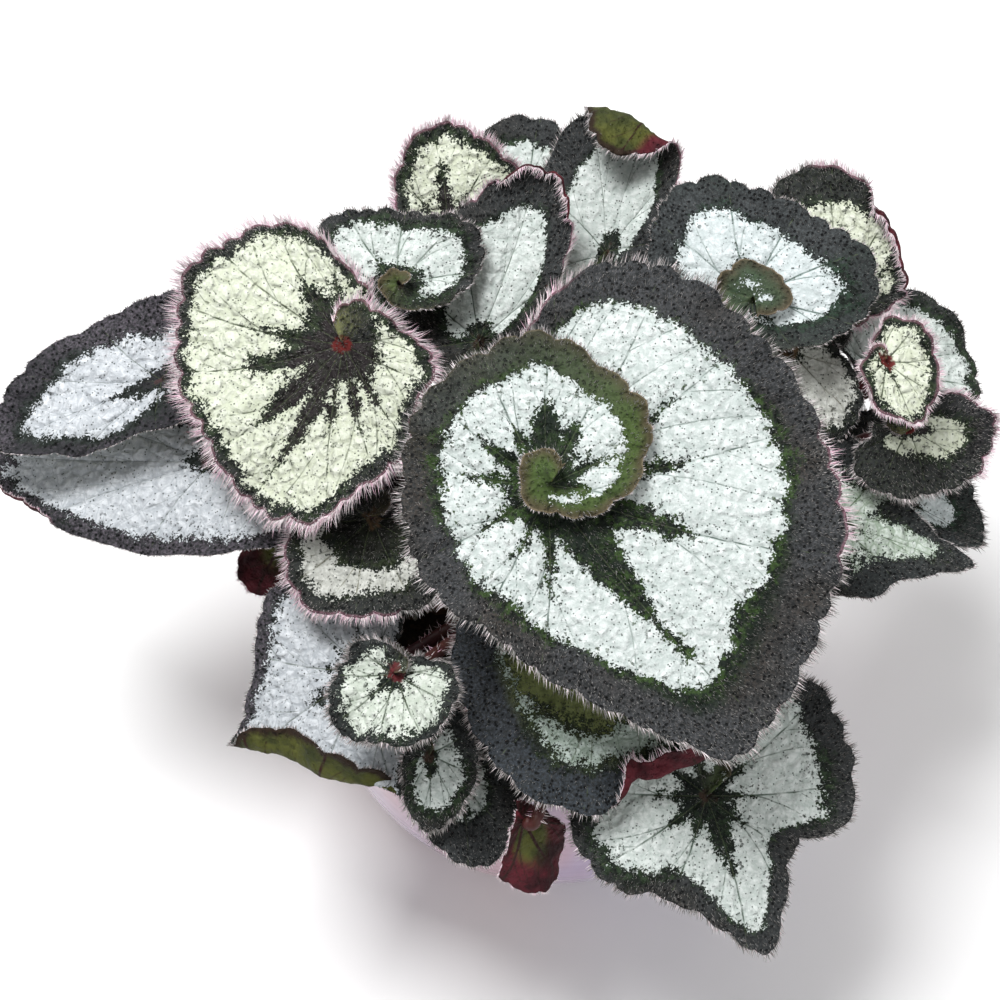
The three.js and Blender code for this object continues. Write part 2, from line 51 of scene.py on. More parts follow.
lens = bpy.data.cameras.new("view")
lens.lens = 85
lens.sensor_width = 36
lens.clip_start = 0.05
lens.clip_end = 20
camera = bpy.data.objects.new("view", lens)
towards_viewer = Vector((0, -math.cos(VIEW_ELEVATION), math.sin(VIEW_ELEVATION)))
camera.location = VIEW_TARGET + VIEW_DISTANCE * towards_viewer
camera.rotation_euler = (math.radians(90) - VIEW_ELEVATION, 0, 0)
bpy.context.scene.collection.objects.link(camera)
bpy.context.scene.camera = camera


# ---- Pot ----
# A stoneware bowl with a full belly and a rolled lip, thrown on a wheel. It is dipped in a pale pink
# glaze that breaks to lavender, and wiped clean where the foot stands on the table.

POT_BELLY_RADIUS = 83
POT_BELLY_HEIGHT = 66
POT_NECK_RADIUS = 60
POT_UPPER_HEIGHT = 70
POT_HEIGHT = 128
POT_WALL = 6
POT_FLOOR = 8
POT_LIP_RADIUS = 3.4
POT_FOOT_INSET = 4
POT_FOOT_RING = 7
POT_FOOT_HOLLOW = 1.6
THROWING_RING = 0.12
GLAZE_ENDS = 3
POT_SIDES = 144


class Flow:
    """One output in a node tree. Operators on values add Math nodes to the tree."""

    def __init__(self, tree, output=None):
        self.tree = tree
        self.output = output

    def node(self, kind, settings=None, sockets=None, output=0):
        """Adds a node: first its settings, then the values or links of its sockets."""
        added = self.tree.nodes.new(kind)
        for name, value in (settings or {}).items():
            setattr(added, name, value)
        for name, value in (sockets or {}).items():
            if isinstance(value, Flow):
                self.tree.links.new(value.output, added.inputs[name])
            else:
                added.inputs[name].default_value = value
        return Flow(self.tree, added.outputs[output])

    def maths(self, operation, *values):
        return self.node("ShaderNodeMath", {"operation": operation}, dict(enumerate(values)))

    def __add__(self, other):
        return self.maths("ADD", self, other)

    def __sub__(self, other):
        return self.maths("SUBTRACT", self, other)

    def __rsub__(self, other):
        return self.maths("SUBTRACT", other, self)

    def __mul__(self, other):
        return self.maths("MULTIPLY", self, other)

    __radd__ = __add__
    __rmul__ = __mul__

    def most(self, other):
        return self.maths("MAXIMUM", self, other)

    def rise(self, low, high):
        """0 where the value is under low, 1 over high, and smooth between them."""
        sockets = {"Value": self, "From Min": low, "From Max": high}
        return self.node("ShaderNodeMapRange", {"interpolation_type": "SMOOTHSTEP"}, sockets)

    def blend(self, under, over):
        """Two colours, mixed by this value."""
        under, over = (c if isinstance(c, Flow) else (*c, 1) for c in (under, over))
        return self.node("ShaderNodeMix", {"data_type": "RGBA"}, {0: self, 6: under, 7: over}, output=2)

    def noise(self, scale, detail=2, roughness=0.5, stretch=(1, 1, 1)):
        """Noise on the object's own coordinates, with about `scale` lumps in a metre."""
        place = self.node("ShaderNodeTexCoord", output="Object")
        if stretch != (1, 1, 1):
            place = self.node("ShaderNodeMapping", sockets={"Vector": place, "Scale": stretch})
        sockets = {"Vector": place, "Scale": scale, "Detail": detail, "Roughness": roughness}
        return self.node("ShaderNodeTexNoise", sockets=sockets)

    def cells(self, scale, feature="F1", warp=0):
        """Cells on the object's own coordinates, their walls bent by `warp` metres of noise."""
        place = self.node("ShaderNodeTexCoord", output="Object")
        if warp:
            sockets = {"Vector": place, "Scale": scale * 0.7}
            bend = self.node("ShaderNodeTexNoise", sockets=sockets, output="Color")
            shift = self.node("ShaderNodeVectorMath", {"operation": "SCALE"}, {0: bend, "Scale": warp})
            place = self.node("ShaderNodeVectorMath", {"operation": "ADD"}, {0: place, 1: shift})
        sockets = {"Vector": place, "Scale": scale}
        return self.node("ShaderNodeTexVoronoi", {"feature": feature}, sockets, "Distance")

    def attribute(self, name):
        return self.node("ShaderNodeAttribute", {"attribute_name": name}, output="Fac")

    def bump(self, height, distance, strength=1.0, under=None):
        """Relief that is `distance` metres high, on top of the relief `under` it."""
        sockets = {"Height": height, "Distance": distance, "Strength": strength}
        if under:
            sockets["Normal"] = under
        return self.node("ShaderNodeBump", sockets=sockets)


def material_of(name, paint, **uniform):
    """A material with some uniform sockets, whose `paint` function gives the flows of the others."""
    material = bpy.data.materials.new(name)
    material.use_nodes = True
    tree = material.node_tree
    shader = tree.nodes["Principled BSDF"]
    for socket, value in uniform.items():
        shader.inputs[socket.replace("_", " ")].default_value = value
    for socket, flow in paint(Flow(tree)).items():
        tree.links.new(flow.output, shader.inputs[socket.replace("_", " ")])
    return material


def made(name, points, faces):
    """A smooth mesh object at the origin, from points in millimetres."""
    mesh = bpy.data.meshes.new(name)
    mesh.from_pydata((np.asarray(points, float) * MM).tolist(), [], faces)
    mesh.update()
    mesh.polygons.foreach_set("use_smooth", [True] * len(mesh.polygons))
    piece = bpy.data.objects.new(name, mesh)
    bpy.context.scene.collection.objects.link(piece)
    return piece


def dress(piece, material, slot, *nodes):
    """Gives a finished piece its material and its place on the plant's one body."""
    piece.data.materials.clear()
    piece.data.materials.append(material)
    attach(piece, "root")
    if nodes:
        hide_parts(*nodes)


def bands(rings, sides):
    """Faces between the rings of a round form, each of which has `sides` points."""
    faces = []
    for ring in range(rings - 1):
        for side in range(sides):
            after = (side + 1) % sides
            faces.append((ring * sides + side, ring * sides + after,
                          (ring + 1) * sides + after, (ring + 1) * sides + side))
    return faces


def lathed(name, profile, sides):
    """A turned body. The profile runs from the axis below, round the outside, to the axis above."""
    profile = np.array(profile, float)
    middle = profile[1:-1]
    turns = np.arange(sides) * 2 * np.pi / sides
    across = [np.outer(middle[:, 0], share) for share in (np.cos(turns), np.sin(turns))]
    rings = np.stack([*across, np.repeat(middle[:, 1:], sides, axis=1)], -1).reshape(-1, 3)
    low = len(rings)
    points = np.vstack([rings, (0, 0, profile[0, 1]), (0, 0, profile[-1, 1])])
    faces = bands(len(middle), sides)
    last = (len(middle) - 1) * sides
    for side in range(sides):
        after = (side + 1) % sides
        faces.append((after, side, low))
        faces.append((last + side, last + after, low + 1))
    return made(name, points, faces)


def pot_radius(height):
    """The pot's outer radius: a sphere below the belly, and half an ellipse above it."""
    from_belly = height - POT_BELLY_HEIGHT
    if from_belly <= 0:
        return math.sqrt(POT_BELLY_RADIUS**2 - from_belly**2)
    closing = POT_BELLY_RADIUS - POT_NECK_RADIUS
    return POT_NECK_RADIUS + closing * math.sqrt(1 - (from_belly / POT_UPPER_HEIGHT) ** 2)


def pot_profile():
    foot = pot_radius(0) - POT_FOOT_INSET
    inner = foot - POT_FOOT_RING
    profile = [(0, POT_FOOT_HOLLOW), (inner, POT_FOOT_HOLLOW), (inner + 1.2, 0.2), (inner + 2, 0),
               (foot - 0.6, 0), (foot, 0.4)]
    for height in np.linspace(2.4, POT_HEIGHT - 2 * POT_LIP_RADIUS, 56):
        profile.append((pot_radius(height) + THROWING_RING * math.sin(height * 1.1), height))
    lip_radius = pot_radius(POT_HEIGHT) + 1
    lip_height = POT_HEIGHT - POT_LIP_RADIUS
    for turn in np.radians(np.linspace(-50, 200, 22)):
        out, up = POT_LIP_RADIUS * math.cos(turn), POT_LIP_RADIUS * math.sin(turn)
        profile.append((lip_radius + out, lip_height + up))
    for height in np.linspace(POT_HEIGHT - 12, POT_FLOOR + 6, 24):
        profile.append((pot_radius(height) - POT_WALL, height))
    profile += [(pot_radius(POT_FLOOR) - POT_WALL - 4, POT_FLOOR), (0, POT_FLOOR)]
    return profile


def paint_glaze(start):
    pink = (0.48, 0.29, 0.35)
    lavender = (0.44, 0.37, 0.54)
    rose = (0.51, 0.27, 0.32)
    clay = (0.36, 0.24, 0.17)
    pools = start.noise(14, 2).rise(0.42, 0.62)
    runs = start.noise(60, 3, stretch=(1, 1, 0.25)).rise(0.35, 0.7)
    place = start.node("ShaderNodeTexCoord", output="Object")
    height = start.node("ShaderNodeSeparateXYZ", sockets={0: place}, output="Z")
    glaze = pools.blend(pink, lavender)
    glaze = (runs * 0.22).blend(glaze, rose)
    specks = start.cells(420).rise(0.10, 0.05) * start.noise(90, 1).rise(0.5, 0.62)
    glaze = (specks * 0.55).blend(glaze, (0.17, 0.08, 0.07))
    ragged_end = height + start.noise(220, 2) * 0.0016
    wiped = ragged_end.rise((GLAZE_ENDS + 0.4) * MM, (GLAZE_ENDS - 0.4) * MM)
    thin_lip = height.rise((POT_HEIGHT - 2.2) * MM, (POT_HEIGHT - 0.4) * MM)
    thin_lip = thin_lip * (0.35 + start.noise(130, 2) * 0.5)
    glaze = (thin_lip * 0.6).blend(glaze, clay)
    sand = start.noise(900, 3).blend((0.26, 0.17, 0.12), (0.44, 0.31, 0.22))
    orange_peel = start.bump(start.noise(330, 2), 0.00010, 0.6)
    return {
        "Base Color": wiped.blend(glaze, sand),
        "Roughness": 0.14 + wiped * 0.7 + start.noise(45, 2) * 0.1,
        "Coat Weight": 0.6 - wiped * 0.6,
        "Normal": orange_peel,
    }


pot = lathed("pot_glazed", pot_profile(), POT_SIDES)
glaze_material = material_of("pink_glaze", paint_glaze, Coat_Roughness=0.06, IOR=1.52)
dress(pot, glaze_material, "glaze", "pot")


# ---- Soil ----
# Loose, dark peat compost that fills the pot to a finger's breadth under the lip and mounds up a
# little towards the plant. Crumbs, chips of bark and white grains of perlite lie on it.

SOIL_HEIGHT = 112
SOIL_MOUND = 4
SOIL_GAP = 0.35
SOIL_SEED = 3
GRAIN_SEED = 11
SOIL_SIDES = 180


def ripples(points, wavelength, seed):
    """Smooth unevenness from about -1 to 1: twelve plane waves in random directions."""
    random = np.random.default_rng(seed)
    directions = random.normal(size=(12, 3))
    directions /= np.linalg.norm(directions, axis=1, keepdims=True)
    lengths = wavelength * random.uniform(0.7, 1.4, (12, 1))
    phases = random.uniform(0, 2 * np.pi, 12)
    return np.sin(2 * np.pi * points @ (directions / lengths).T + phases).sum(axis=-1) / 4


def soil_body():
    profile = [(0, POT_FLOOR + SOIL_GAP), (pot_radius(POT_FLOOR) - POT_WALL - 5, POT_FLOOR + SOIL_GAP)]
    for height in np.linspace(POT_FLOOR + 8, SOIL_HEIGHT - 3, 12):
        profile.append((pot_radius(height) - POT_WALL - SOIL_GAP - 0.1, height))
    edge = pot_radius(SOIL_HEIGHT) - POT_WALL - 0.6
    for radius in np.linspace(edge, 1.2, 60):
        profile.append((radius, SOIL_HEIGHT + SOIL_MOUND * (1 - (radius / POT_BELLY_RADIUS) ** 2)))
    profile.append((0, SOIL_HEIGHT + SOIL_MOUND))
    body = lathed("soil_bed", profile, SOIL_SIDES)
    points = np.array([v.co for v in body.data.vertices]) / MM
    top = points[:, 2] > SOIL_HEIGHT - 1
    clods, lumps, crumbs = (
        ripples(points, wavelength, SOIL_SEED + order) for order, wavelength in enumerate((9, 4, 2.2))
    )
    uneven = 0.9 * clods + 0.5 * np.abs(lumps) + 0.3 * crumbs
    inside = np.clip((edge - np.hypot(points[:, 0], points[:, 1])) / 4, 0, 1)
    points[:, 2] += np.where(top, uneven * inside - 0.3, 0)
    body.data.vertices.foreach_set("co", (points * MM).ravel())
    body.data.update()
    return body


def paint_soil(start):
    damp = start.noise(55, 3).rise(0.35, 0.65)
    fibres = start.noise(700, 4, 0.7)
    colour = damp.blend((0.050, 0.031, 0.019), (0.018, 0.011, 0.007))
    colour = (fibres.rise(0.55, 0.75) * 0.6).blend(colour, (0.11, 0.068, 0.038))
    return {
        "Base Color": colour,
        "Roughness": 0.95 - damp * 0.25,
        "Normal": start.bump(start.noise(900, 5, 0.7), 0.0012),
    }


def tree_of(name, inputs):
    """An empty Geometry Nodes tree with named inputs, and its first and last nodes."""
    tree = bpy.data.node_groups.new(name, "GeometryNodeTree")
    tree.interface.new_socket("Geometry", in_out="INPUT", socket_type="NodeSocketGeometry")
    for label, kind in inputs.items():
        tree.interface.new_socket(label, in_out="INPUT", socket_type="NodeSocket" + kind)
    tree.interface.new_socket("Geometry", in_out="OUTPUT", socket_type="NodeSocketGeometry")
    given = tree.nodes.new("NodeGroupInput")
    result = tree.nodes.new("NodeGroupOutput")
    return tree, {socket.name: Flow(tree, socket) for socket in given.outputs if socket.name}, result


def grown(name, carrier, tree, values):
    """What the tree makes on the carrier, as a plain mesh object."""
    modifier = carrier.modifiers.new(tree.name, "NODES")
    modifier.node_group = tree
    for item in tree.interface.items_tree:
        if item.item_type == "SOCKET" and item.in_out == "INPUT" and item.name in values:
            modifier[item.identifier] = values[item.name]
    evaluated = carrier.evaluated_get(bpy.context.evaluated_depsgraph_get())
    mesh = bpy.data.meshes.new_from_object(evaluated)
    mesh.name = name
    carrier.modifiers.remove(modifier)
    piece = bpy.data.objects.new(name, mesh)
    bpy.context.scene.collection.objects.link(piece)
    return piece


def stood_on(points, shape, rotation, scale, material):
    """A copy of the shape on each point, made real and given its material."""
    placed = points.node(
        "GeometryNodeInstanceOnPoints",
        sockets={"Points": points, "Instance": shape, "Rotation": rotation, "Scale": scale},
    )
    solid = points.node("GeometryNodeRealizeInstances", sockets={"Geometry": placed})
    return points.node("GeometryNodeSetMaterial", sockets={"Geometry": solid, "Material": material})


def grain_tree():
    """Scatters lumps over the level part of a surface, each turned and stretched at random."""
    tree, given, result = tree_of(
        "scattered_grains",
        {"Density": "Float", "Smallest": "Vector", "Largest": "Vector", "Seed": "Int",
         "Material": "Material"},
    )
    start = given["Geometry"]
    normal = start.node("GeometryNodeInputNormal")
    level = start.node("ShaderNodeSeparateXYZ", sockets={0: normal}, output="Z")
    points = start.node(
        "GeometryNodeDistributePointsOnFaces",
        sockets={"Mesh": start, "Selection": level.maths("GREATER_THAN", level, 0.45),
                 "Density": given["Density"], "Seed": given["Seed"]},
    )
    lump = start.node("GeometryNodeMeshIcoSphere", sockets={"Radius": 1.0, "Subdivisions": 2})
    place = start.node("GeometryNodeInputPosition")
    dents = start.node("ShaderNodeTexNoise", sockets={"Vector": place, "Scale": 1.4}, output="Color")
    halves = {0: dents, 1: (0.5, 0.5, 0.5)}
    shift = start.node("ShaderNodeVectorMath", {"operation": "SUBTRACT"}, halves)
    lump = start.node("GeometryNodeSetPosition", sockets={"Geometry": lump, "Offset": shift})
    turn, size = (
        start.node("FunctionNodeRandomValue", {"data_type": "FLOAT_VECTOR"},
                   {"Min": least, "Max": most, "Seed": given["Seed"]})
        for least, most in (((0, 0, 0), (6.28, 6.28, 6.28)), (given["Smallest"], given["Largest"]))
    )
    lumps = stood_on(points, lump, turn, size, given["Material"])
    tree.links.new(lumps.output, result.inputs[0])
    return tree


def paint_crumb(start):
    tone = start.noise(160, 2).rise(0.3, 0.7)
    return {
        "Base Color": tone.blend((0.022, 0.013, 0.008), (0.10, 0.058, 0.032)),
        "Roughness": 0.8 + tone * 0.18,
        "Normal": start.bump(start.noise(1400, 4, 0.7), 0.0006),
    }


def paint_perlite(start):
    tone = start.noise(300, 3).rise(0.3, 0.7)
    return {
        "Base Color": tone.blend((0.42, 0.40, 0.36), (0.72, 0.70, 0.66)),
        "Normal": start.bump(start.cells(1500), 0.0005),
    }


soil = soil_body()
soil_material = material_of("peat_compost", paint_soil)
crumb_material = material_of("compost_crumbs", paint_crumb)
perlite_material = material_of("perlite_grains", paint_perlite, Roughness=0.9)
grains = grain_tree()
# Each kind: how many lie on a square metre, their smallest and largest sizes, and their material.
scatterings = {
    "soil_crumbs": (75000, (0.5, 0.5, 0.4), (1.7, 1.5, 1.1), crumb_material),
    "soil_bark_chips": (12000, (1.4, 0.7, 0.3), (3.6, 1.8, 0.6), crumb_material),
    "soil_perlite": (9000, (0.7, 0.7, 0.6), (1.5, 1.4, 1.2), perlite_material),
}
for place, (name, (density, smallest, largest, material)) in enumerate(scatterings.items()):
    values = {"Density": float(density), "Seed": GRAIN_SEED + place, "Material": material,
              "Smallest": tuple(v * MM for v in smallest), "Largest": tuple(v * MM for v in largest)}
    scattered = grown(name, soil, grains, values)
    dress(scattered, material, "soil")
dress(soil, soil_material, "soil", "soil")


# ---- Rhizome ----
# The creeping stem, fleshy and ringed with the scars of old leaves. Four arms of it lie half sunk in
# the soil and creep out from the middle, and the leaf stalks stand on them in two rows.

RHIZOME_RADIUS = 9.5
RHIZOME_WAIST = 8
RHIZOME_SUNK = 3
ARM_END = 48
ARM_TAPER = 7
ARM_SEED = 20
SCAR_HEIGHT = 0.35
KNUCKLE_STEP = 9
RHIZOME_SIDES = 48
ARM_AZIMUTHS = {"right": 0, "rear": 90, "left": 180, "front": 270}


def tube(points, radii, sides):
    """Points and faces of a closed round tube along a path, tapering to its last radii."""
    points = np.asarray(points, float)
    tangents = np.gradient(points, axis=0)
    tangents /= np.linalg.norm(tangents, axis=1, keepdims=True)
    across = np.cross(tangents[0], (0, 0, 1))
    if np.linalg.norm(across) < 1e-3:
        across = np.cross(tangents[0], (0, 1, 0.2))
    turns = np.arange(sides) * 2 * np.pi / sides
    rings = []
    for point, tangent, radius in zip(points, tangents, radii):
        across = across - tangent * (across @ tangent)
        across /= np.linalg.norm(across)
        over = np.cross(tangent, across)
        ring = np.outer(np.cos(turns), across) + np.outer(np.sin(turns), over)
        rings.append(point + radius * ring)
    last = (len(points) - 1) * sides
    faces = bands(len(points), sides)
    faces.append(tuple(range(sides - 1, -1, -1)))
    faces.append(tuple(last + side for side in range(sides)))
    return np.concatenate(rings), faces


def direction_of(arm):
    azimuth = math.radians(ARM_AZIMUTHS[arm])
    return np.array([math.cos(azimuth), math.sin(azimuth), 0])


def rhizome_body():
    points = []
    faces = []
    for order, arm in enumerate(ARM_AZIMUTHS):
        along = np.linspace(-2, ARM_END, 110)
        knuckles = np.abs(np.sin(np.pi * along / KNUCKLE_STEP)) ** 0.7
        scars = SCAR_HEIGHT * np.exp(-(((along / KNUCKLE_STEP + 0.5) % 1 - 0.5) / 0.05) ** 2)
        radii = RHIZOME_WAIST + (RHIZOME_RADIUS - RHIZOME_WAIST) * knuckles + scars
        closing = np.clip((ARM_END - along) / ARM_TAPER, 0, 1)
        radii *= np.sqrt(1 - (1 - closing) ** 2) * 0.98 + 0.02
        path = np.outer(along, direction_of(arm)) + (0, 0, SOIL_HEIGHT + SOIL_MOUND - RHIZOME_SUNK)
        arm_points, arm_faces = tube(path, radii, RHIZOME_SIDES)
        arm_points += (0.3 * ripples(arm_points, 5, ARM_SEED + order))[:, None] * (0, 0, 1)
        faces += [tuple(i + len(points) for i in face) for face in arm_faces]
        points += arm_points.tolist()
    return made("rhizome_arms", points, faces)


def paint_rhizome(start):
    bark = start.noise(120, 4, 0.6).rise(0.35, 0.68)
    colour = bark.blend((0.20, 0.085, 0.045), (0.10, 0.11, 0.035))
    colour = start.noise(420, 3).rise(0.56, 0.72).blend(colour, (0.045, 0.022, 0.014))
    return {
        "Base Color": colour,
        "Roughness": 0.5 + bark * 0.35,
        "Normal": start.bump(start.noise(500, 4, 0.6), 0.0007),
    }


dress(rhizome_body(), material_of("rhizome_skin", paint_rhizome), "rhizome", "rhizome")


# ---- Leaf stalks ----
# Round, fleshy stalks, each rooted in the rhizome and bent so that it meets its blade square. They
# are pink to wine red with pale flecks, swollen a little at both ends.

STALK_FOOT_RADIUS = 2.5
STALK_TOP_RADIUS = 1.8
STALK_SUNK = 6
STALK_FIRST = 0.75
STALK_ROW = 4.4
STALK_RISE = 0.4
STALK_ARRIVAL = 0.3
STALK_FOOT_SWELLING = 0.7
STALK_TOP_SWELLING = 0.6
STALK_SIDES = 14
STALK_RINGS = 44
BOSS_DEPTH = 0.6
BLADE_ALLOWANCE = 0.8
BLADE_GAP = 0.3
STALK_RUNS_ON = 0.9

# Each outline pairs the turn from the leaf's tip, in degrees, with the margin's distance from the
# stalk as a share of the tip's. Past half a turn the margin winds over the blade like a snail shell.
CROWN_OUTLINE = [
    (-155, 0.47), (-128, 0.75), (-98, 0.81), (-65, 0.88), (-34, 0.94), (-9, 0.99), (0, 1), (6, 0.88),
    (17, 0.73), (31, 0.6), (52, 0.5), (76, 0.475), (102, 0.447), (130, 0.445), (171, 0.475), (212, 0.465),
    (263, 0.38), (301, 0.28), (331, 0.19), (373, 0.1), (459, 0.1), (548, 0.12), (613, 0.07),
]
SNAIL_OUTLINE = [
    (-190, 0.3), (-159, 0.45), (-147, 0.65), (-126, 0.86), (-98, 0.97), (-63, 0.95), (-22, 0.98),
    (-6, 1.03), (0, 1), (10, 0.97), (31, 0.8), (46, 0.72), (64, 0.58), (90, 0.54), (120, 0.35), (182, 0.25),
    (222, 0.14),
]
COIL_OUTLINE = [
    (-150, 0.35), (-110, 0.55), (-75, 0.68), (-45, 0.9), (-20, 1), (0, 1), (15, 0.88), (50, 0.85),
    (85, 0.95), (105, 0.92), (130, 0.68), (160, 0.45), (204, 0.34), (298, 0.28), (370, 0.3), (462, 0.28),
    (549, 0.18),
]
HOOK_OUTLINE = COIL_OUTLINE[:12] + [(204, 0.3), (298, 0.19), (370, 0.14), (462, 0.13), (549, 0.08)]
BROAD_OUTLINE = [
    (-165, 0.35), (-130, 0.8), (-113, 0.98), (-92, 0.96), (-78, 0.93), (-57, 0.87), (-44, 0.64),
    (-34, 0.62), (-18, 0.76), (-6, 0.95), (0, 1), (7, 0.92), (20, 0.75), (34, 0.66), (49, 0.65),
    (62, 0.74), (78, 0.82), (106, 0.82), (128, 0.7), (150, 0.5), (200, 0.32), (250, 0.2),
]
FOLDED_OUTLINE = [
    (-165, 0.35), (-130, 0.72), (-100, 0.82), (-65, 0.84), (-45, 0.74), (-24, 0.8), (-8, 0.95), (0, 1),
    (14, 1.02), (32, 1.02), (52, 1.02), (70, 0.98), (88, 0.72), (110, 0.48), (150, 0.36), (200, 0.28),
]
ROUND_OUTLINE = [
    (-170, 0.4), (-130, 0.8), (-90, 0.95), (-50, 1), (-20, 1.03), (0, 1), (20, 0.97), (50, 0.9), (85, 0.85),
    (120, 0.7), (160, 0.45), (200, 0.3), (240, 0.2),
]
WINGED_OUTLINE = [
    (-170, 0.4), (-145, 0.7), (-118, 1.02), (-92, 1.3), (-74, 1.4), (-60, 1.3), (-46, 1.14), (-30, 1.06),
    (-14, 1.01), *ROUND_OUTLINE[5:],
]
SLANTED_OUTLINE = [
    (-190, 0.15), (-140, 0.17), (-100, 0.2), (-72, 0.28), (-52, 0.42), (-36, 0.58), (-24, 0.76),
    (-10, 0.96), *SNAIL_OUTLINE[8:],
]
FAN_OUTLINE = [
    (-170, 0.22), (-70, 0.3), (-38, 0.8), (-15, 1), (0, 1.04), (15, 0.98), (36, 0.74), (70, 0.28),
    (170, 0.22),
]

# What a row of the table of leaves says, in millimetres and degrees:
# at, tip, reach: top of the stalk; compass direction, droop and bank of the tip; stalk to tip.
# outline, wide, hand: form of the margin; its width as a share; 1 where the shell winds anticlockwise.
# cup, bow, fold: how far the blade rises to its margin, drops to its tip, and folds along its middle.
# wave, waves, crenate: height and number of the margin's waves; number of its scallops.
# turn_rise: how much higher the shell gets in a turn. stalk, sway: arm and place on the rhizome; bend.
# turn_up, turn_up_at, turn_up_towards: angle of a fold; its place and direction on the blade.
# hem: turns between which a strip of the margin is rolled up, and the width of the strip.
# finish, border, star, hub: colouring; sizes of the dark rim, rays and middle as shares of the reach.
# blush, hairs, fringe, down: turns where the margin is flushed pink; length of its hairs; their
# spacing; short hairs on a square millimetre of the dark parts.
LEAF_DEFAULTS = dict(
    outline=SNAIL_OUTLINE, hand=-1, wide=1, cup=0.08, bow=0.14, fold=0, wave=2.8, waves=6, turn_rise=4.5,
    crenate=32, turn_up=0, turn_up_at=0.4, turn_up_towards=90, sway=(0, 0, 0), finish="silver", border=0.17,
    star=0.45, hub=0.11, hem=None, blush=(), hairs=3, fringe=0.32, down=2,
)
ALL_ROUND = ((-400, 700),)
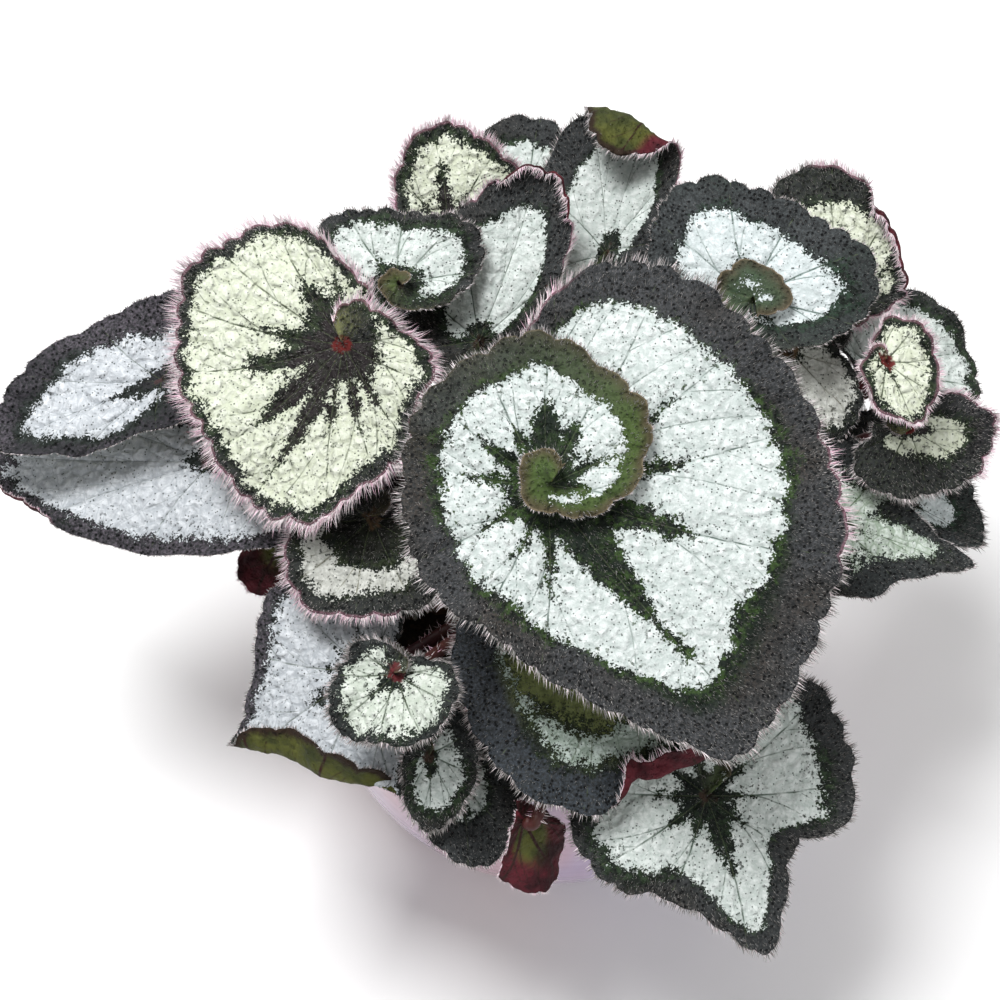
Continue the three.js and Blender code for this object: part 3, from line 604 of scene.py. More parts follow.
LEAVES = {
    "crown": dict(at=(-5, -20, 226), tip=(-53, 18, -9), reach=97, stalk=("front", 0), outline=CROWN_OUTLINE,
                  wave=3, waves=7, crenate=92, turn_rise=7, cup=0.03, bow=0.1, finish="crown", hub=0.13,
                  blush=((-162, -141), (-64, -44)), hairs=4),
    "left": dict(at=(-68, 40, 210), tip=(-110, 22, -4), reach=57, stalk=("left", 2), hand=1, wave=2.2,
                 crenate=64, turn_rise=5, finish="lime", border=0.08, star=0.6, hub=0.23, blush=ALL_ROUND,
                 hairs=4.4, fringe=0.19, down=3),
    "young_left": dict(at=(-52, 64, 206), tip=(128, -12, 2), reach=32, stalk=("left", 0), crenate=52,
                       outline=HOOK_OUTLINE, sway=(-20, 6, 0), border=0.2, star=0.4, hub=0.26, hairs=2),
    "right_rear": dict(at=(60, 55, 212), tip=(104, -22, -2), reach=42, stalk=("right", 1), crenate=56,
                       outline=COIL_OUTLINE, finish="slate", border=0.24, star=0.4, hub=0.16, hairs=1.4),
    "rear_silver": dict(at=(-26, 54, 189), tip=(66, -23, -9), reach=64, stalk=("rear", 1), hand=1,
                        outline=SLANTED_OUTLINE, wide=0.74, border=0.22, star=0.12,
                        hem=(-16, 16, 5), blush=((-30, 30), (100, 230)), fringe=0.2),
    "rear_pink": dict(at=(-36, 97, 188), tip=(96, -34, 9), reach=36, stalk=("rear", 3), hand=1, wide=0.9,
                      finish="lime", border=0.12, star=0.7, blush=ALL_ROUND, hairs=3, fringe=0.14),
    "rear_dark": dict(at=(-9, 116, 172), tip=(89, -20, 0), reach=35, stalk=("rear", 5), crenate=24,
                      border=0.26, star=0.2, hairs=1.5),
    "rear_turned": dict(at=(17, 96, 178), tip=(74, -14, 0), reach=66, stalk=("rear", 0), wide=0.5,
                        turn_up=160, turn_up_at=0.58, turn_up_towards=-10, sway=(20, 0, 0),
                        border=0.2, star=0.1, blush=((15, 60),)),
    "rear_peak": dict(at=(95, 75, 185), tip=(103, -30, 1), reach=43, stalk=("right", 3), finish="lime",
                      border=0.2, star=0.5, hem=(30, 96, 6), blush=((0, 200),), fringe=0.18),
    "right_silver": dict(at=(112, 53, 167), tip=(9, 14, -21), reach=33, stalk=("right", 5), crenate=24,
                         sway=(0, 18, 0), border=0.13, star=0.2, hairs=1.6),
    "right_young": dict(at=(103, 38.5, 202), tip=(-62, 16, -3), reach=22, stalk=("right", 7), wide=0.8,
                        crenate=24, sway=(30, 22, 0), finish="lime", border=0.13, star=0.3, blush=ALL_ROUND,
                        hairs=2, fringe=0.16),
    "right_inner": dict(at=(75, 49, 191), tip=(-45, 19, -6), reach=31, stalk=("right", 0), hand=1,
                        wide=0.78, finish="cream", border=0.14, star=0.1, hairs=1.6),
    "right_hairy": dict(at=(113, 27, 180), tip=(6, 16, -32), reach=33, stalk=("right", 2), hand=1,
                        wide=0.7, sway=(0, 6, 6), finish="lime", border=0.42, star=0.3,
                        blush=((-40, 60),), fringe=0.18),
    "right_low": dict(at=(107, 24, 144.6), tip=(-17, 17, 0), reach=42, stalk=("right", 6), wide=0.65,
                      crenate=24, sway=(0, 0, 14), finish="slate", border=0.3),
    "right_front": dict(at=(89, 0, 166), tip=(-10, 16, -12), reach=51, stalk=("right", 4), wide=0.58,
                        outline=BROAD_OUTLINE, finish="mint", border=0.26, star=0.25, hairs=1.8),
    "front_right": dict(at=(46, -84, 140), tip=(-67, 20, 1), reach=53, stalk=("front", 5), crenate=44,
                        outline=BROAD_OUTLINE, cup=0, wave=1.6, sway=(0, 0, 22), border=0.15, star=0.5),
    "front": dict(at=(9, -43, 170), tip=(-87, 16, -1), reach=55, stalk=("front", 3), wide=0.92,
                  outline=WINGED_OUTLINE, crenate=44, bow=0.05, finish="moss", border=0.3, star=0.3,
                  hub=0.55, hem=(-84, -14, 10), blush=((-88, -10),), hairs=3.2, down=0.7),
    "front_left": dict(at=(-62, -45, 149), tip=(-155, 20, 6), reach=50, stalk=("left", 3), hand=1,
                       outline=FOLDED_OUTLINE, turn_up=140, turn_up_at=0.64, turn_up_towards=38,
                       finish="plum", border=0.08, star=0.4, hairs=1.6),
    "young_front": dict(at=(-51, -60, 181), tip=(-140, 19, 7), reach=24, stalk=("left", 1), fold=0.4,
                        crenate=28, finish="rosy", border=0.14, star=0.4, fringe=0.2),
    "front_small": dict(at=(-41, -76, 155), tip=(-88, 30, -1), reach=24, stalk=("front", 2), wide=0.65,
                        crenate=24, border=0.25, star=0.3, fringe=0.2),
    "front_dark": dict(at=(-32, -78, 138), tip=(-78, 26, 6), reach=28, stalk=("front", 4), wide=0.9,
                       sway=(0, 0, 17), border=0.62, hairs=2),
    "hanging": dict(at=(-12, -92, 142), tip=(-50, 62, 180), reach=28, stalk=("front", 6), crenate=24,
                    outline=FAN_OUTLINE, sway=(0, -16, 30), blush=ALL_ROUND, hairs=1.2),
    # Painted shade: left_under's wide dark middle (hub) stands for the shadow that the leaves above cast on
    # its inner part.
    "left_under": dict(at=(-60, -4, 176), tip=(-138, 14, 8), reach=34, stalk=("left", 5), turn_rise=7,
                       crenate=28, finish="cream", border=0.2, star=0.3, hub=0.48, blush=((-60, 60),),
                       hairs=3.2, fringe=0.16),
    "left_hanging": dict(at=(-86, 4, 155), tip=(-140, 45, 180), reach=27, stalk=("left", 8), crenate=24,
                         outline=FAN_OUTLINE, sway=(0, 0, 20), blush=ALL_ROUND, hairs=1.2),
    "far_left_rear": dict(at=(-128, 41, 186), tip=(196, 9, 10), reach=60, stalk=("left", 6), hand=1,
                          wide=0.5, sway=(0, 15, 0), finish="plum", border=0.2, star=0.3, hairs=1),
    "far_left_front": dict(at=(-113, 22, 167), tip=(175, 9, 14), reach=78, stalk=("left", 7), wide=0.42,
                           finish="plum", border=0.1, star=0.15, hem=(-36, -14, 4),
                           blush=((-40, -10),), hairs=1),
    "back_left": dict(at=(-58, 90, 150), tip=(130, 24, 0), reach=52, stalk=("left", 4), hand=1, wide=0.72,
                      outline=ROUND_OUTLINE, crenate=28, sway=(0, 0, 18)),
    "back_right": dict(at=(50, 102, 144), tip=(62, 26, 0), reach=52, stalk=("rear", 4), crenate=28,
                       sway=(10, 0, 24)),
}
LEAVES = {name: {**LEAF_DEFAULTS, **row} for name, row in LEAVES.items()}


def leaf_axes(leaf):
    """Unit vectors to the tip, to the side, and up out of the blade, as the rows of a matrix."""
    points, droops, banks = np.radians(leaf["tip"])
    flat = np.array([math.cos(points), math.sin(points), 0])
    tip = flat * math.cos(droops) - np.array([0, 0, math.sin(droops)])
    level = np.array([-math.sin(points), math.cos(points), 0])
    normal = np.cross(tip, level) * math.cos(banks) + level * math.sin(banks)
    return np.array([tip, np.cross(normal, tip), normal])


def boss_bottom(leaf):
    """Height of the underside of the blade's boss over the leaf's own plane."""
    first_turn = math.radians(leaf["outline"][0][0])
    return leaf["turn_rise"] * first_turn / (2 * math.pi) - BLADE_ALLOWANCE - BOSS_DEPTH


def stalk_path(leaf):
    """Points along the stalk, from its foot in the rhizome to just under the blade."""
    arm, place = leaf["stalk"]
    along = direction_of(arm)
    across = np.array([-along[1], along[0], 0])
    side = STALK_ROW if place % 2 else -STALK_ROW
    foot = KNUCKLE_STEP * (STALK_FIRST + place / 2) * along + side * across
    foot = foot + (0, 0, SOIL_HEIGHT + SOIL_MOUND - STALK_SUNK)
    normal = leaf_axes(leaf)[2]
    top = np.array(leaf["at"]) + normal * (boss_bottom(leaf) - BLADE_GAP)
    height = top[2] - foot[2]
    low = foot + (0, 0, STALK_RISE * height) + np.array(leaf["sway"])
    high = top - normal * STALK_ARRIVAL * height
    t = np.linspace(0, 1, STALK_RINGS)[:, None]
    path = (1 - t) ** 3 * foot + 3 * (1 - t) ** 2 * t * low + 3 * (1 - t) * t**2 * high + t**3 * top
    return np.vstack([path, top + normal * STALK_RUNS_ON])


def stalk_radii(count):
    """Radii along the stalk: a taper, with a swelling near its foot and one at its top."""
    t = np.linspace(0, 1, count)
    radii = STALK_FOOT_RADIUS + (STALK_TOP_RADIUS - STALK_FOOT_RADIUS) * t
    radii = radii + STALK_FOOT_SWELLING * np.exp(-(((t - 0.1) / 0.07) ** 2))
    return radii + STALK_TOP_SWELLING * np.exp(-(((t - 1) / 0.06) ** 2))


def paint_stalk(start):
    streaks = start.noise(170, 3, stretch=(3, 3, 0.5)).rise(0.35, 0.7)
    blotches = start.noise(45, 2).rise(0.42, 0.62)
    colour = blotches.blend((0.048, 0.007, 0.010), (0.072, 0.022, 0.014))
    colour = (streaks * 0.5).blend(colour, (0.100, 0.024, 0.034))
    flecks = start.cells(520).rise(0.22, 0.12)
    colour = (flecks * 0.5).blend(colour, (0.22, 0.12, 0.11))
    return {
        "Base Color": colour,
        "Roughness": 0.42 + streaks * 0.2,
        "Normal": start.bump(start.noise(900, 3), 0.0002),
    }


stalk_material = material_of(
    "stalk_skin", paint_stalk, Subsurface_Weight=0.08, Subsurface_Radius=(0.004, 0.0012, 0.0008)
)
for name, leaf in LEAVES.items():
    path = stalk_path(leaf)
    points, faces = tube(path, stalk_radii(len(path)), STALK_SIDES)
    dress(made(f"stalk_{name}", points, faces), stalk_material, "stalk", f"leaf_{name}_stalk")


# ---- Leaf blades ----
# Thin, puckered sheets that wind round the stalk like a snail shell, with fine sunken veins and a
# scalloped margin. A silver band lies between a dark star at the stalk and a dark, pitted rim.

BLADE_THICKNESS = 0.55
BLADE_CORE = 0.3
BLADE_CELL = 1.05
CREASE_RADIUS = 0.07
FOLD_ROUNDING = 0.15
MARGIN_LIFT = 0.01
HEM_RADIUS = 2
HEM_ANGLE = 150
CURVE_STEPS = 60
BLADE_SEED = 100
LOBE_HEIGHT = 2.2
TOOTH_HEIGHT = 0.5
BAY_DEPTH = 0.7
MAIN_VEIN_SUNK = 0.9
SIDE_VEIN_SUNK = 0.4
RAY_SPACING = 37
RAY_HALF_WIDTH = 0.09
# A main vein swings this far from its ray by the margin, and forks at these shares of its length, each
# fork with the angle that it spreads over, in radians, and its side.
VEIN_SWING = 0.1
VEIN_FORKS = ((0.34, 0.26, 1), (0.5, 0.24, -1), (0.66, 0.2, 1), (0.8, 0.14, -1))

# Turns, lengths and half widths of the dark rays on the two leaves that face the viewer, and how wide
# the crown leaf's rim is, as shares of its reach.
CROWN_RAYS = [
    (-138, 0.32, 0.03), (-112, 0.38, 0.03), (-88, 0.48, 0.03), (-65, 0.46, 0.04), (-37, 0.48, 0.085),
    (-3, 0.52, 0.11), (-3, 0.67, 0.04), (32, 0.33, 0.05), (57, 0.24, 0.035), (90, 0.25, 0.05),
    (131, 0.24, 0.03), (158, 0.285, 0.04), (184, 0.22, 0.06), (211, 0.28, 0.085), (240, 0.22, 0.06),
    (278, 0.27, 0.035), (310, 0.13, 0.05),
]
CROWN_RIM = [
    (-155, 0.14), (-98, 0.14), (-60, 0.15), (-34, 0.22), (-22, 0.27), (-8, 0.22), (0, 0.25), (17, 0.17),
    (40, 0.13), (52, 0.125), (102, 0.13), (171, 0.11), (212, 0.105), (263, 0.095), (307, 0.08), (397, 0.05),
    (440, 0.12), (613, 0.12),
]
LIME_RAYS = [
    (-150, 0.42, 0.07), (-126, 0.46, 0.15), (-104, 0.3, 0.06), (-81, 0.52, 0.08), (-58, 0.6, 0.11),
    (-28, 0.68, 0.12), (-9, 0.7, 0.10), (-9, 0.97, 0.03), (8, 0.5, 0.08), (28, 0.44, 0.06),
    (47, 0.46, 0.06), (78, 0.28, 0.06), (110, 0.2, 0.05),
]


def margin_of(leaf):
    """Turn, distance from the stalk, and running number of scallops, at even steps along the margin."""
    turns, shares = np.array(leaf["outline"], float).T
    turns = np.radians(turns)
    far = shares * leaf["reach"]
    knots = np.stack([far * np.cos(turns), far * np.sin(turns), MARGIN_LIFT * turns], -1)
    knots = np.vstack([2 * knots[0] - knots[1], knots, 2 * knots[-1] - knots[-2]])
    curve = []
    for a, b, c, d in zip(knots, knots[1:], knots[2:], knots[3:]):
        ab, bc, cd = (np.sqrt(np.linalg.norm(q - p)) for p, q in ((a, b), (b, c), (c, d)))
        leaving = ((b - a) / ab - (c - a) / (ab + bc) + (c - b) / bc) * bc
        arriving = ((c - b) / bc - (d - b) / (bc + cd) + (d - c) / cd) * bc
        t = np.linspace(0, 1, CURVE_STEPS, endpoint=False)[:, None]
        curve.append(b + leaving * t + (3 * (c - b) - 2 * leaving - arriving) * t**2
                     + (2 * (b - c) + leaving + arriving) * t**3)
    curve = np.vstack([*curve, knots[-2:-1]])
    run = np.concatenate([[0], np.cumsum(np.linalg.norm(np.diff(curve, axis=0), axis=1))])
    columns = max(90, int(run[-1] / BLADE_CELL))
    even = np.linspace(0, run[-1], columns + 1)
    x, y, lift = (np.interp(even, run, curve[:, axis]) for axis in range(3))
    return lift / MARGIN_LIFT, np.hypot(x, y), even / run[-1] * leaf["crenate"]


def rolled(past, height, radius, angle):
    """Where points past a crease end up, across and up, when they are rolled round an arc."""
    turn = np.clip(past / radius, 0, angle)
    straight = past - radius * turn
    across = radius * np.sin(turn) + straight * np.cos(turn) - height * np.sin(turn)
    up = radius * (1 - np.cos(turn)) + straight * np.sin(turn) + height * np.cos(turn)
    return across, up


def turned_up(leaf, points):
    """Rolls the part of the blade past the crease upwards, round an arc and then straight on."""
    if not leaf["turn_up"]:
        return points
    towards = math.radians(leaf["turn_up_towards"])
    out = np.array([math.cos(towards), math.sin(towards), 0])
    past = points @ out - leaf["turn_up_at"] * leaf["reach"]
    radius = CREASE_RADIUS * leaf["reach"]
    across, up = rolled(past, points[..., 2], radius, math.radians(leaf["turn_up"]))
    turned = points + (across - past)[..., None] * out
    turned[..., 2] = up
    return np.where((past > 0)[..., None], turned, points)


def vein_lines(leaf, rays):
    """Lines of points on the flat leaf, as turn and distance, with each line's rank: 0 for main veins."""
    turns, margins, _ = margin_of(leaf)
    lines = []
    for turn, _, _ in rays:
        turn = math.radians(turn)
        end = np.interp(turn, turns, margins)
        t = np.linspace(0, 1, 12)
        swing = VEIN_SWING * np.sign(turn + 0.01)
        main = np.stack([turn + swing * t**2, BLADE_CORE + (0.97 * end - BLADE_CORE) * t], -1)
        lines.append((0, main))
        for fork, spread, side in VEIN_FORKS:
            leaves_at = main[0] + (main[-1] - main[0]) * fork
            leaves_at[0] = turn + swing * fork**2
            arrives = leaves_at[0] + side * spread
            edge = np.interp(arrives, turns, margins) * (0.8 + 0.16 * fork)
            outwards = max(edge, leaves_at[1] * 1.05) - leaves_at[1]
            s = np.linspace(0, 1, 7)
            branch = np.stack([leaves_at[0] + side * spread * s**0.8, leaves_at[1] + outwards * s], -1)
            lines.append((1, branch))
    return lines


def distance_to_lines(turn, distance, lines):
    """Distance of each point of the sheet to the nearest of the lines on the same layer of the shell."""
    x = distance * np.cos(turn)
    y = distance * np.sin(turn)
    nearest = np.full(turn.shape, 1e3)
    for line in lines:
        near = np.abs(turn - line[:, 0].mean()) < 1.2
        if not near.any():
            continue
        px, py = x[near], y[near]
        best = nearest[near]
        for (turn_a, far_a), (turn_b, far_b) in zip(line, line[1:]):
            ax, ay = far_a * math.cos(turn_a), far_a * math.sin(turn_a)
            bx, by = far_b * math.cos(turn_b) - ax, far_b * math.sin(turn_b) - ay
            t = np.clip(((px - ax) * bx + (py - ay) * by) / (bx * bx + by * by + 1e-9), 0, 1)
            best = np.minimum(best, np.hypot(px - ax - t * bx, py - ay - t * by))
        nearest[near] = best
    return nearest


def rays_of(leaf):
    """The dark rays along the main veins, as turn, length and half width in shares of the reach."""
    if leaf["finish"] == "crown":
        return CROWN_RAYS
    if leaf["finish"] == "lime" and leaf["reach"] > 50:
        return LIME_RAYS
    first, last = leaf["outline"][0][0], min(leaf["outline"][-1][0], 330)
    rays = [(0, leaf["star"], 1.3 * RAY_HALF_WIDTH)]
    side_turns = [*range(RAY_SPACING, math.ceil(last - 12), RAY_SPACING), *range(-33, first + 12, -36)]
    return rays + [(turn, 0.62 * leaf["star"], 0.8 * RAY_HALF_WIDTH) for turn in side_turns]


def between(turn, spans, soft=6):
    """1 inside the spans of turns, in degrees, falling to 0 over a few degrees outside them."""
    degrees = np.degrees(turn)
    inside = np.zeros(turn.shape)
    for low, high in spans:
        depth = np.minimum(degrees - low, high - degrees)
        inside = np.maximum(inside, np.clip(1 + depth / soft, 0, 1))
    return inside


def scallops_of(count, seed):
    """The big scallops as values from 0 to 1, and how far all the scallops move the margin out."""
    count = count + 0.4 * np.sin(0.9 * count + seed)
    lobes = np.abs(np.sin(np.pi * count / 2)) ** 0.7
    teeth = np.abs(np.sin(np.pi * count * 1.37))
    bays = np.sin(count * 0.83 + seed) + np.sin(count * 0.37 + 2 * seed)
    return lobes, LOBE_HEIGHT * (lobes - 0.7) + TOOTH_HEIGHT * (teeth - 0.6) + BAY_DEPTH * bays


def relief_of(flat, share, vein, veinlet, lobes, size, seed):
    """Height of the cushions between the sunken veins and of the ruffles near the margin."""
    pucker = MAIN_VEIN_SUNK * (1 - np.exp(-vein / (2.2 * size)))
    pucker = pucker + SIDE_VEIN_SUNK * (1 - np.exp(-veinlet / (1.4 * size)))
    pucker = pucker + 0.20 * ripples(flat, 8 * size, seed) + 0.14 * ripples(flat, 4 * size, seed + 1)
    ruffle = 0.9 * share**5 * (ripples(flat, 13 * size, seed + 2) + 0.9 * (lobes - 0.6))
    level_middle = np.clip(share * 6, 0, 1)
    return size * level_middle * (pucker - 0.8 + ruffle)


def hemmed(leaf, x, y, height, turn, from_margin):
    """Rolls a strip of the margin up and inwards."""
    low, high, width = leaf["hem"]
    past = width * between(turn, [(low, high)], 12) - from_margin
    across, up = rolled(past, 0 * past, HEM_RADIUS, math.radians(HEM_ANGLE))
    shift = np.where(past > 0, across - past, 0)
    return x + shift * np.cos(turn), y + shift * np.sin(turn), height + np.where(past > 0, up, 0)


def silver_of(leaf, rays, mains, flat, turn, distance, to_margin, coil, seed):
    """How far inside the silver band each point lies, and less than 0 on the dark parts."""
    reach = leaf["reach"]
    if leaf["finish"] == "crown":
        rim_turns, rim_shares = np.array(CROWN_RIM, float).T
        rim = reach * np.interp(np.degrees(turn), rim_turns, rim_shares)
    else:
        rim = leaf["border"] * reach * (1 + 0.25 * ripples(flat, reach, seed + 3)) * (1 - 0.45 * coil)
    star = np.full(turn.shape, 1e3)
    for (_, length, half_width), line in zip(rays, mains):
        taper = np.clip(1 - distance / (length * reach), -1, 1)
        wedge = half_width * reach * np.where(taper > 0, np.abs(taper) ** 0.7, taper * 3)
        star = np.minimum(star, distance_to_lines(turn, distance, [line]) - wedge)
    hub = distance - reach * leaf["hub"] * (1 - 0.7 * np.clip((turn - 4.2) / 1.2, 0, 1))
    return np.minimum(np.minimum(to_margin - rim, star), hub)


def sheet_of(leaf, seed):
    """The blade's middle surface and what is known of it at each point of a grid of rings and columns."""
    turns, margins, count = margin_of(leaf)
    reach = leaf["reach"]
    size = min(1.0, 0.45 + reach / 110)
    rings = max(20, int(reach / 1.5)) + (12 if leaf["hem"] else 0)
    share = (1 - (1 - np.linspace(0, 1, rings + 1)) ** (1.5 if leaf["hem"] else 1.25))[:, None]
    turn = np.broadcast_to(turns, (rings + 1, len(turns)))
    lobes, scallops = scallops_of(count, seed)
    margin = margins + scallops * size * np.clip(margins / 12, 0, 1) * share**3
    distance = BLADE_CORE + (margin - BLADE_CORE) * share
    x = distance * np.cos(turn)
    y = leaf["wide"] * distance * np.sin(turn)
    height = leaf["turn_rise"] * turn / (2 * np.pi) + leaf["cup"] * (x * x + y * y) / reach
    height = height - leaf["bow"] * np.maximum(0, x) ** 2 / reach
    height = height + leaf["fold"] * y * y / (np.abs(y) + FOLD_ROUNDING * reach)
    waves = np.sin(leaf["waves"] * turn + leaf["waves"])
    height = height + leaf["wave"] * (margin / reach) * share**3 * waves
    rays = rays_of(leaf)
    lines = vein_lines(leaf, rays)
    mains, branches = ([line for rank, line in lines if rank == wanted] for wanted in (0, 1))
    vein = distance_to_lines(turn, distance, mains)
    veinlet = distance_to_lines(turn, distance, branches)
    flat = np.stack([x, y, turn * 3], -1)
    height = height + relief_of(flat, share, vein, veinlet, lobes, size, seed)
    to_margin = (margin - distance) * (leaf["wide"] + (1 - leaf["wide"]) * np.abs(np.cos(turn)))
    if leaf["hem"]:
        x, y, height = hemmed(leaf, x, y, height, turn, margin - distance)
    surface = turned_up(leaf, np.stack([x, leaf["hand"] * y, height], -1))
    surface = surface @ leaf_axes(leaf) + np.array(leaf["at"])
    along = np.gradient(surface, axis=1)
    outward = np.gradient(surface, axis=0)
    normal = np.cross(outward, along) * leaf["hand"]
    normal /= np.linalg.norm(normal, axis=-1, keepdims=True) + 1e-9
    outward /= np.linalg.norm(outward, axis=-1, keepdims=True) + 1e-9
    coil = np.clip((turn - 2.2) / 2.5, 0, 1)
    silver = silver_of(leaf, rays, mains, flat, turn, distance, to_margin, coil, seed)
    known = dict(silver=silver, margin=to_margin, vein=vein, veinlet=veinlet, coil=coil, hub=distance,
                 flush=between(turn, leaf["blush"]))
    return surface, normal, outward, known


def mark(piece, label, values):
    """Writes a number or a vector on each point of a mesh."""
    kind, key = ("FLOAT_VECTOR", "vector") if values.ndim == 2 else ("FLOAT", "value")
    attribute = piece.data.attributes.new(label, kind, "POINT")
    attribute.data.foreach_set(key, values.astype(np.float32).ravel())


def blade_body(name, surface, normal, known):
    """A closed sheet: the surface moved half its thickness each way and joined round its rim."""
    rings, columns = surface.shape[:2]
    count = rings * columns
    half = BLADE_THICKNESS / 2
    points = np.concatenate([(surface + side * half * normal).reshape(-1, 3) for side in (1, -1)])
    index = np.arange(count).reshape(rings, columns)
    quads = np.stack([index[:-1, :-1], index[:-1, 1:], index[1:, 1:], index[1:, :-1]], -1)
    quads = quads.reshape(-1, 4)
    edge = np.concatenate([index[0, :-1], index[:-1, -1], index[-1, :0:-1], index[:0:-1, 0]])
    after = np.roll(edge, -1)
    rim = np.stack([edge, after, after + count, edge + count], -1)
    faces = np.concatenate([quads[:, ::-1], quads + count, rim])
    volume = 0
    for three in ([0, 1, 2], [0, 2, 3]):
        corners = points[faces[:, three]]
        volume += np.einsum("ij,ij->", corners[:, 0], np.cross(corners[:, 1], corners[:, 2]))
    if volume < 0:
        faces = faces[:, ::-1]
    blade = made(name, points, faces.tolist())
    for label, values in known.items():
        mark(blade, label, np.tile(values.reshape(-1), 2))
    mark(blade, "under", np.repeat([0.0, 1.0], count))
    return blade


# What a finish says:
# silver, shade: the band's own tone, and painted shade for its folds and creases. green: the tone between
# the band and the dark parts.
# rim, worn: the outer border, and the patches in it. curl: the border of the coil. star: the rays.
# line: the veins in the silver. heart, core: the spot at the stalk, and its radius in millimetres.
# relief: height of the cushions between the veins in metres. ragged: how broken the band's edges are.
FINISHES = {
    "crown": dict(
        silver=(0.76, 0.80, 0.79), shade=(0.42, 0.48, 0.46), green=(0.050, 0.090, 0.026),
        rim=(0.104, 0.106, 0.114), worn=(0.090, 0.075, 0.065), curl=(0.085, 0.130, 0.035),
        star=(0.010, 0.018, 0.012), line=(0.10, 0.14, 0.12), heart=(0.05, 0.09, 0.02),
        core=3, relief=0.0006, ragged=1,
    ),
    "silver": dict(
        silver=(0.77, 0.81, 0.79), shade=(0.45, 0.51, 0.48), green=(0.036, 0.062, 0.030),
        rim=(0.075, 0.080, 0.082), worn=(0.060, 0.055, 0.048), curl=(0.12, 0.17, 0.05),
        star=(0.010, 0.016, 0.013), line=(0.10, 0.14, 0.11), heart=(0.05, 0.03, 0.02),
        core=3, relief=0.0006, ragged=1,
    ),
    "slate": dict(
        silver=(0.77, 0.82, 0.83), shade=(0.47, 0.53, 0.53), green=(0.036, 0.070, 0.044),
        rim=(0.095, 0.106, 0.110), worn=(0.060, 0.078, 0.070), curl=(0.10, 0.14, 0.08),
        star=(0.014, 0.028, 0.022), line=(0.10, 0.15, 0.13), heart=(0.04, 0.06, 0.02),
        core=3, relief=0.0005, ragged=1,
    ),
    "cream": dict(
        silver=(0.76, 0.77, 0.73), shade=(0.44, 0.45, 0.41), green=(0.034, 0.046, 0.022),
        rim=(0.060, 0.065, 0.055), worn=(0.070, 0.045, 0.045), curl=(0.20, 0.18, 0.08),
        star=(0.012, 0.013, 0.010), line=(0.22, 0.22, 0.17), heart=(0.14, 0.09, 0.05),
        core=3, relief=0.0010, ragged=1.2,
    ),
    "mint": dict(
        silver=(0.74, 0.80, 0.75), shade=(0.31, 0.38, 0.30), green=(0.036, 0.060, 0.022),
        rim=(0.070, 0.080, 0.080), worn=(0.060, 0.055, 0.048), curl=(0.10, 0.15, 0.05),
        star=(0.030, 0.060, 0.020), line=(0.08, 0.13, 0.06), heart=(0.06, 0.08, 0.02),
        core=3, relief=0.0010, ragged=2.2,
    ),
    "moss": dict(
        silver=(0.68, 0.76, 0.72), shade=(0.26, 0.33, 0.27), green=(0.034, 0.050, 0.022),
        rim=(0.105, 0.118, 0.140), worn=(0.075, 0.090, 0.110), curl=(0.10, 0.11, 0.03),
        star=(0.210, 0.240, 0.100), line=(0.10, 0.13, 0.08), heart=(0.05, 0.03, 0.01),
        core=3, relief=0.0007, ragged=1.8,
    ),
    "rosy": dict(
        silver=(0.78, 0.82, 0.76), shade=(0.50, 0.56, 0.48), green=(0.028, 0.044, 0.026),
        rim=(0.060, 0.070, 0.066), worn=(0.05, 0.06, 0.06), curl=(0.34, 0.40, 0.22),
        star=(0.012, 0.018, 0.015), line=(0.10, 0.13, 0.09), heart=(0.15, 0.030, 0.035),
        core=3, relief=0.0009, ragged=1.2,
    ),
    "lime": dict(
        silver=(0.76, 0.79, 0.69), shade=(0.56, 0.60, 0.46), green=(0.040, 0.060, 0.030),
        rim=(0.050, 0.058, 0.042), worn=(0.060, 0.055, 0.060), curl=(0.42, 0.44, 0.16),
        star=(0.030, 0.024, 0.026), line=(0.07, 0.09, 0.05), heart=(0.150, 0.022, 0.020),
        core=3.4, relief=0.0011, ragged=1.2,
    ),
    "plum": dict(
        silver=(0.74, 0.77, 0.80), shade=(0.40, 0.43, 0.46), green=(0.040, 0.050, 0.046),
        rim=(0.170, 0.148, 0.178), worn=(0.070, 0.062, 0.076), curl=(0.12, 0.08, 0.09),
        star=(0.030, 0.030, 0.034), line=(0.22, 0.25, 0.24), heart=(0.08, 0.05, 0.05),
        core=3, relief=0.0009, ragged=1.5,
    ),
}


